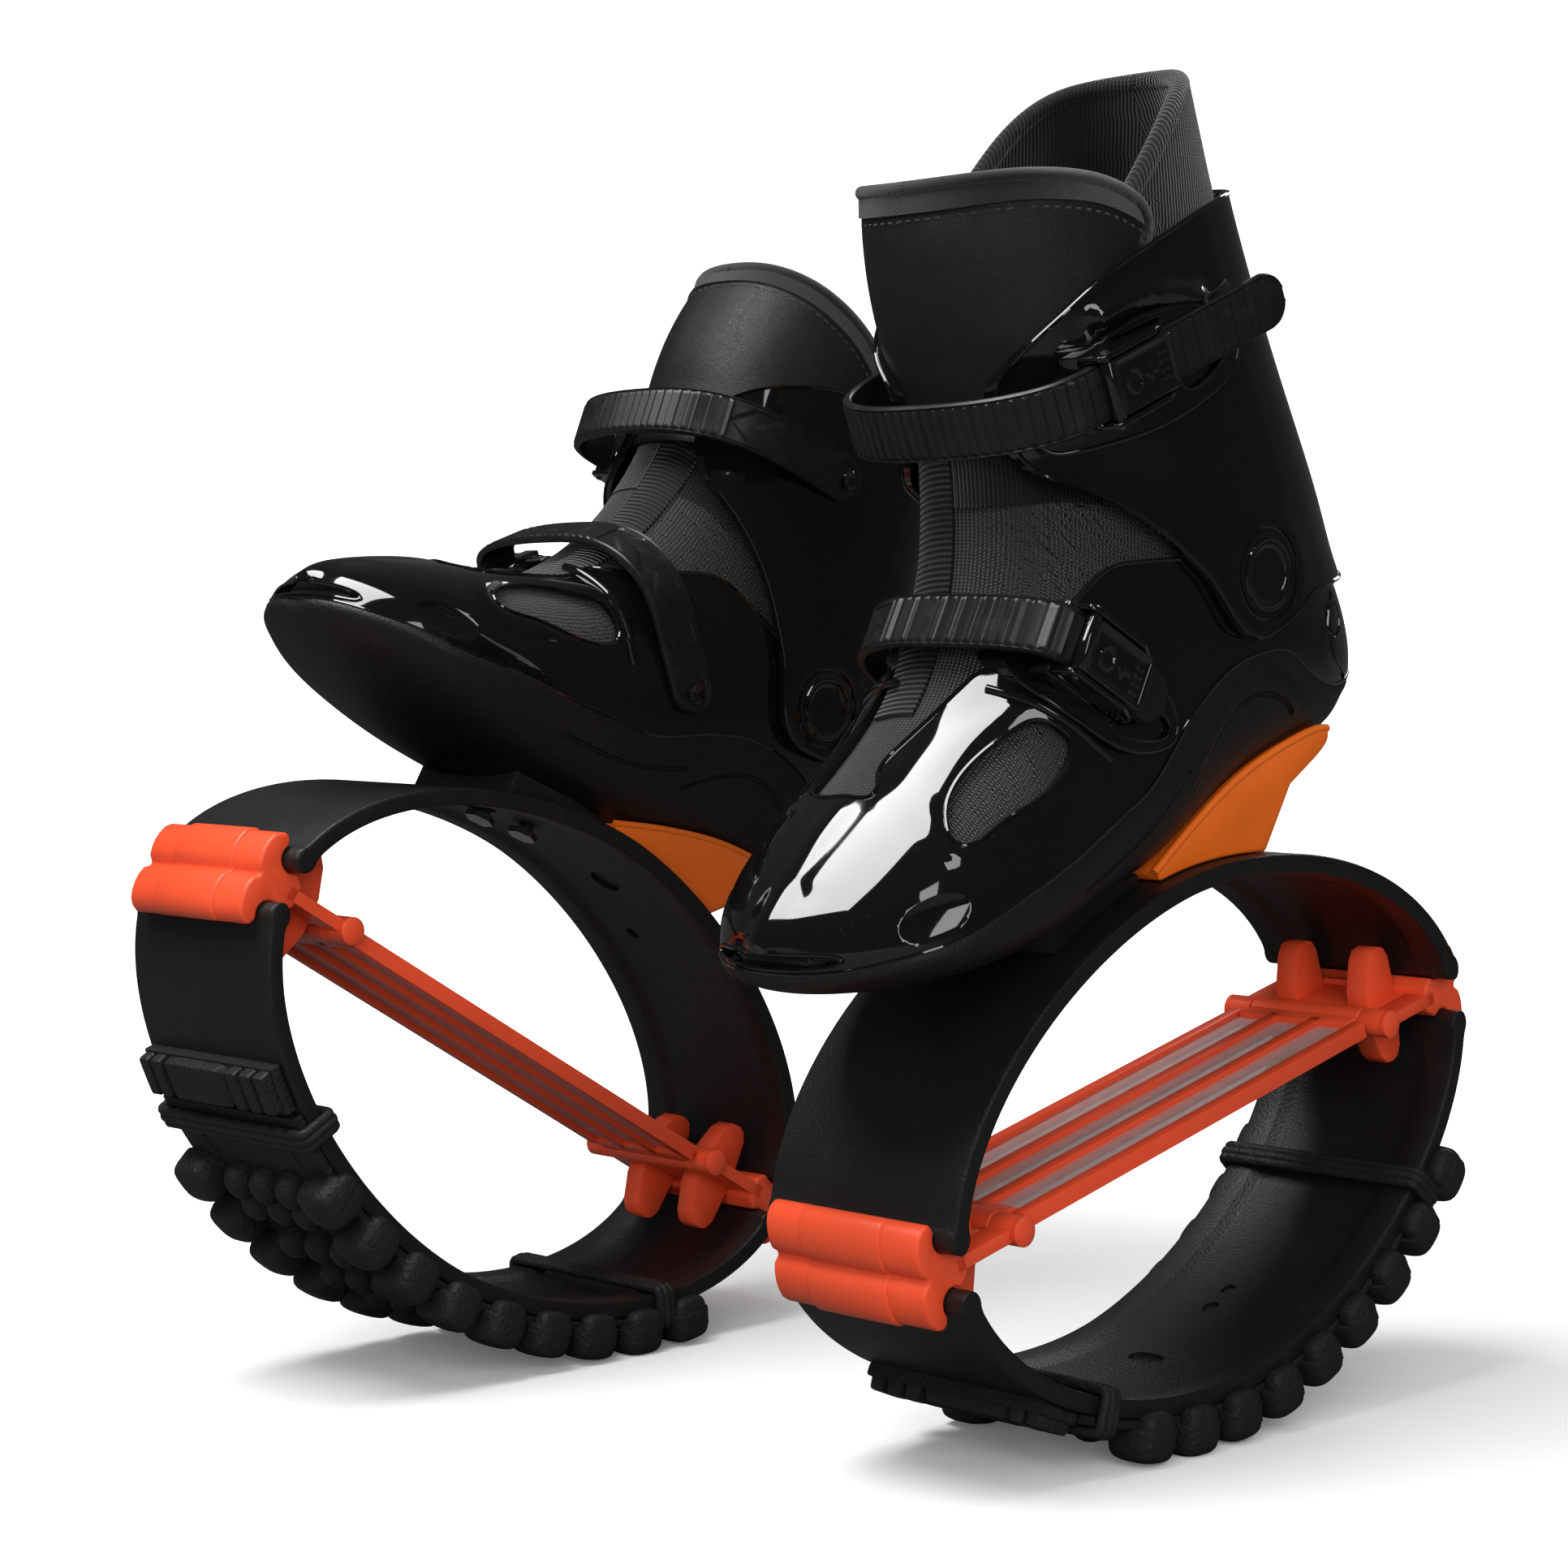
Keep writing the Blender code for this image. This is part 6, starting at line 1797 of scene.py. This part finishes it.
# Straps and buckles
class StrapPlan:
    """Where a strap runs, in the slanting plane of its apex."""

    def __init__(self, name):
        apex, slope, *self.turns, self.start, self.outer_end, self.inner_end = STRAPS[name]
        slope = math.radians(slope)
        self.name = name
        self.back = Vector((0, -math.cos(slope), -math.sin(slope)))
        self.across = Vector((0, -math.sin(slope), math.cos(slope)))
        self.apex = Vector((0, fwd(apex[0]), up(apex[1])))
        low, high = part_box(f"left_{name}_strap")
        centre = shoe_matrix("left").translation.x
        self.outer_out = high.x - centre - STRAP_THICKNESS / 2
        self.inner_out = centre - low.x - STRAP_THICKNESS / 2
        self.face = pad_face(name)

    def place(self, distance, out):
        """Point at a distance back from the apex and a distance out."""
        return self.apex + self.back * distance + Vector((out, 0, 0))

    def view(self):
        """Matrix with x back along the strap, y across it and z out, seated on the pad."""
        matrix = Matrix((self.back, self.across, (1, 0, 0))).transposed().to_4x4()
        matrix.translation = self.place(self.start, self.face + GAP)
        return matrix

    def route(self):
        """Even points (distance back, out) of the strap's middle line, and their lengths from the apex."""
        halves = []
        outer_turn, inner_turn = self.turns
        for side, out, turn, end in ((-1, self.inner_out, inner_turn, self.inner_end),
                                     (1, self.outer_out, outer_turn, self.outer_end)):
            angle = np.linspace(0, math.pi / 2, 200)
            back = turn * (1 - np.clip(np.cos(angle), 0, 1) ** (2 / STRAP_POWER))
            line = np.stack([back, side * out * np.sin(angle) ** (2 / STRAP_POWER)], 1)
            halves.append(np.vstack([line, [[end, side * out]]]))
        line = np.vstack([halves[0][::-1], halves[1][1:]])
        lengths = np.concatenate([[0], np.cumsum(np.linalg.norm(np.diff(line, axis=0), axis=1))])
        targets = np.linspace(0, lengths[-1], int(lengths[-1] / 0.0005))
        even = np.stack([np.interp(targets, lengths, line[:, k]) for k in range(2)], 1)
        for _ in range(6):
            even[1:-1] = (even[:-2] + 2 * even[1:-1] + even[2:]) / 4
        return even, targets - lengths[len(halves[0]) - 1]


def strap_mesh(plan):
    """A strap with teeth along its outer part and a raised pattern on its smooth end."""
    line, lengths = plan.route()
    way = np.gradient(line, axis=0)
    way /= np.linalg.norm(way, axis=1)[:, None]
    across = np.linspace(-1, 1, 33)
    aside = np.abs(across)
    edge = np.clip((1 - aside) / 0.05, 0, 1) ** 0.5
    half, base = STRAP_WIDTH / 2, -STRAP_THICKNESS / 2 * (0.70 + 0.30 * edge)
    back, side, apex = np.array(plan.back), np.array(plan.across), np.array(plan.apex)
    pitch, height = sizes().tooth_pitch, sizes().tooth_height
    rings = []
    for (b, o), (run, rise), s in zip(line, way, lengths):
        from_end = s - lengths[0]
        tip = min(1.0, (lengths[-1] - s) / STRAP_TIP, from_end / STRAP_TIP)
        width = half * math.sqrt(max(0.08, 1 - (1 - tip) ** 2))
        border = np.clip((aside - 0.88) / 0.06, 0, 1) * height * 0.5
        if s > SMOOTH_END[plan.name]:
            phase = (s / pitch) % 1.0
            tooth = min(phase / 0.75, (1 - phase) / 0.25) * height * (1 if tip >= 1 else 0.4)
            relief = np.clip((0.86 - aside) / 0.06, 0, 1) * tooth
        else:
            flow = from_end / 0.012 + aside * 1.1
            relief = np.clip(np.sin(flow * math.pi) * 3, -1, 1) * 0.00028 * (aside < 0.74)
            border = border + 0.0004 * (np.abs(aside - 0.80) < 0.06)
        top = STRAP_THICKNESS / 2 * (0.55 + 0.45 * edge) + border * edge + relief
        centre = apex + back * b + np.array((o, 0, 0))
        normal = back * -rise + np.array((run, 0, 0))
        upper, lower = [[centre + normal * t + side * w * width for t, w in zip(face, across)]
                        for face in (top, base)]
        rings.append(upper + lower[::-1])
    return loft(np.array(rings))


def relief_plate(length, width, thickness, height, step=0.0006, corner=0.0035):
    """Closed plate from x 0 to its length, its top moved up by a height of each place."""
    xs = np.linspace(0, length, int(length / step) + 1)
    ys = np.linspace(-width / 2, width / 2, int(width / step) + 1)
    x, y = np.meshgrid(xs, ys, indexing="ij")
    to_end, to_side = np.minimum(x, length - x), width / 2 - np.abs(y)
    a, b = np.clip(corner - to_end, 0, None), np.clip(corner - to_side, 0, None)
    inside = np.where((a > 0) & (b > 0), corner - np.hypot(a, b), np.minimum(to_end, to_side))
    scale = corner / np.maximum(np.hypot(a, b), 1e-9)
    out = inside < 0
    px = np.where(out, np.where(x < length / 2, corner - a * scale, length - corner + a * scale), x)
    py = np.where(out, np.sign(y) * (width / 2 - corner + b * scale), y)
    edge = np.clip(np.maximum(inside, 0) / 0.0009, 0, 1)
    top = thickness * (0.62 + 0.38 * np.sqrt(1 - (1 - edge) ** 2)) + height(x, y) * edge
    rows, columns = x.shape
    points = [np.stack([px, py, z], 2).reshape(-1, 3) for z in (top, np.zeros_like(px))]
    quads = grid_faces(rows, columns)[:, ::-1]
    under = rows * columns
    index = np.arange(under).reshape(rows, columns)
    ring = [*index[0, :-1], *index[:-1, -1], *index[-1, :0:-1], *index[:0:-1, 0]]
    faces = quads.tolist() + (quads[:, ::-1] + under).tolist()
    faces += [(a, b, b + under, a + under) for a, b in zip(ring, ring[1:] + ring[:1])]
    return outward(mesh_from(np.vstack(points), faces))


def lever_height(x, y):
    """Raised frame, ring, plain arrow and dots on a lever."""
    border = np.minimum(np.minimum(x - 0.0005, LEVER_LENGTH - x - 0.0005), 0.01025 - np.abs(y))
    height = 0.0009 * ramp(border - 0.0018, 0.0010) - 0.0004 * ramp(-border + 0.0030, 0.0008)
    ring = np.hypot(x - 0.0105, y) - 0.0036
    height += 0.0008 * np.exp(-(ring / 0.0006) ** 2)
    head = np.where((x > 0.0165) & (x < 0.0205), np.abs(y) - (x - 0.0165) * 0.9, 1.0)
    shaft = np.where((x >= 0.0205) & (x < 0.0240), np.abs(y) - 0.0010, 1.0)
    height += 0.0006 * ramp(np.minimum(head, shaft), 0.0005)
    for row in (-0.0045, -0.0015, 0.0015, 0.0045):
        for column in (0.0262, 0.0290):
            height += 0.0007 * ramp(np.hypot(x - column, y - row) - 0.0008, 0.0006)
    return height


def buckle_meshes(plan):
    """A buckle's base, and its lever with its barrel."""
    view = plan.view()
    outer, wide, floor, high, length = BUCKLE
    half = [(outer, 0), (outer, high), (wide, high), (wide, floor)]
    section = [(-outer, 0)] + half + [(-a, b) for a, b in reversed(half[1:])]
    rings = []
    for x, drop in ((0.0, 0.85), (0.003, 1.0), (length - 0.010, 1.0), (length, 0.55)):
        rings.append([(x, a, b * drop if b > floor else b) for a, b in section])
    base = moved(bevelled(loft(np.array(rings), ends="cap"), 0.0007, 3, 25), view)
    plate = relief_plate(LEVER_LENGTH, LEVER_WIDTH, LEVER_THICKNESS, lever_height)
    lever = moved(plate, view @ Matrix.Translation(LEVER_PLACE))
    barrel = turned([(-0.0102, 0.0022), (-0.0098, 0.0026), (0.0098, 0.0026), (0.0102, 0.0022)], 32)
    axis = view @ Matrix.Translation(BARREL_PLACE) @ Matrix.Rotation(math.pi / 2, 4, "Z")
    return base, joined(lever, moved(barrel, axis))


class BOOTS_OT_straps(bpy.types.Operator):
    """Make the toothed straps, their buckles and screws"""

    bl_idname = "boots.straps"
    bl_label = "Straps and buckles"

    def execute(self, context):
        for name, body in (("lower", "boots"), ("upper", "cuff_set")):
            plan = StrapPlan(name)
            base, lever = buckle_meshes(plan)
            pieces = (
                ("ladder_strap", strap_mesh(plan), "strap_rubber", body, "strap", 30.0),
                ("buckle_body", base, "gloss_black", body, "buckle_base", 38.0),
                ("buckle_plate", lever, "gloss_black", f"{name}_lever", "buckle_lever", 50.0),
                ("strap_rivet", self.rivet(plan), "gloss_black", body, "strap_screw", 38.0),
            )
            for piece, mesh, finish, carrier, node, smooth in pieces:
                set_piece(f"{name}_{piece}", mesh, finish, carrier, [f"{name}_{node}"], smooth)
            steel_node(f"{name}_buckle_pin")
        return {"FINISHED"}

    def rivet(self, plan):
        """Domed rivet at a strap's inner end."""
        place = plan.place(plan.inner_end - 0.008, 0.0)
        face = plan.inner_out + STRAP_THICKNESS / 2
        profile = [(0.006, 0.001), (0.006, 0.0042), (0.0004, 0.0042), (0.0, 0.0036), (0.0005, 0.0024),
                   (0.0009, 0.0006)]
        return moved(turned(profile, 36), Matrix.Translation((-face - 0.0018, place.y, place.z)))


# Stage
class BOOTS_OT_stage(bpy.types.Operator):
    """Make the floor, backdrop, lights, world and camera"""

    bl_idname = "boots.stage"
    bl_label = "Stage"

    def execute(self, context):
        self.camera()
        self.floor()
        for lamp in LAMPS:
            self.lamp(*lamp)
        self.world()
        context.scene.view_settings.view_transform = "Standard"
        return {"FINISHED"}

    def camera(self):
        """Camera at the photograph's place."""
        data = bpy.data.cameras.new("camera")
        data.sensor_width = 36.0
        data.lens = CAMERA_LENS
        item = placed("camera", data)
        item.location = CAMERA_PLACE
        item.rotation_euler = Vector(CAMERA_WAY).to_track_quat("-Z", "Y").to_euler()
        bpy.context.scene.camera = item

    def floor(self):
        """Floor that curves up into a backdrop behind the pair."""
        (start, bend), radius, wide = FLOOR_SPAN, BACKDROP_RADIUS, BACKDROP_HALF_WIDTH
        turns = np.linspace(0.1, math.pi / 2, 14)
        line = [(start, 0.0), (bend, 0.0)]
        line += [(bend + radius * math.sin(t), radius - radius * math.cos(t)) for t in turns]
        line.append((bend + radius, BACKDROP_HEIGHT))
        turn = Matrix.Rotation(math.radians(BACKDROP_TURN), 4, "Z")
        points = [turn @ Vector((x, a, b)) for a, b in line for x in (-wide, wide)]
        faces = [(2 * i, 2 * i + 1, 2 * i + 3, 2 * i + 2) for i in range(len(line) - 1)]
        mesh = mesh_from(points, faces)
        mesh.materials.append(finish_of("stage_white"))
        mesh.shade_smooth()
        placed("floor", mesh)

    def lamp(self, name, place, target, width, height, power, mirrored):
        """Large soft lamp that looks at a target, mirrored in gloss or not."""
        data = bpy.data.lights.new(name, "AREA")
        data.shape = "RECTANGLE"
        data.size, data.size_y, data.energy = width, height, power
        item = placed(name, data)
        item.location = place
        item.rotation_euler = (Vector(target) - Vector(place)).to_track_quat("-Z", "Y").to_euler()
        item.visible_glossy = mirrored

    def world(self):
        """Even white world, weaker in mirrored rays."""
        world = bpy.data.worlds.new("studio")
        bpy.context.scene.world = world
        world.use_nodes = True
        nodes, links = world.node_tree.nodes, world.node_tree.links
        back = nodes["Background"]
        back.inputs["Color"].default_value = (1, 1, 1, 1)
        ray, level = nodes.new("ShaderNodeLightPath"), nodes.new("ShaderNodeMapRange")
        level.inputs["To Min"].default_value, level.inputs["To Max"].default_value = WORLD_STRENGTH
        links.new(ray.outputs["Is Glossy Ray"], level.inputs["Value"])
        links.new(level.outputs["Result"], back.inputs["Strength"])


OPERATORS = (BOOTS_OT_ring, BOOTS_OT_tread, BOOTS_OT_sole, BOOTS_OT_shell, BOOTS_OT_cuff, BOOTS_OT_liner,
             BOOTS_OT_straps, BOOTS_OT_stage)


class BOOTS_PT_panel(bpy.types.Panel):
    """Panel with the boots' sizes, colours and steps"""

    bl_idname = "BOOTS_PT_panel"
    bl_label = "Rebound boots"
    bl_space_type = "VIEW_3D"
    bl_region_type = "UI"
    bl_category = "Rebound boots"

    def draw(self, context):
        for group in (context.scene.boot_sizes, context.scene.boot_colours):
            for name in group.bl_rna.properties.keys():
                if name not in ("rna_type", "name"):
                    self.layout.prop(group, name)
        for operator in OPERATORS:
            self.layout.operator(operator.bl_idname)


CLASSES = (BootSizes, BootColours, *OPERATORS, BOOTS_PT_panel)


def register():
    """Add the classes and the scene's settings."""
    for item in CLASSES:
        bpy.utils.register_class(item)
    bpy.types.Scene.boot_sizes = PointerProperty(type=BootSizes)
    bpy.types.Scene.boot_colours = PointerProperty(type=BootColours)


def unregister():
    """Take the settings and the classes away again."""
    del bpy.types.Scene.boot_sizes
    del bpy.types.Scene.boot_colours
    for item in reversed(CLASSES):
        bpy.utils.unregister_class(item)


def main():
    """Dress the frame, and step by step."""
    register()
    for operator in OPERATORS:
        getattr(bpy.ops.boots, operator.bl_idname.removeprefix("boots."))()


if __name__ == "__main__":
    main()
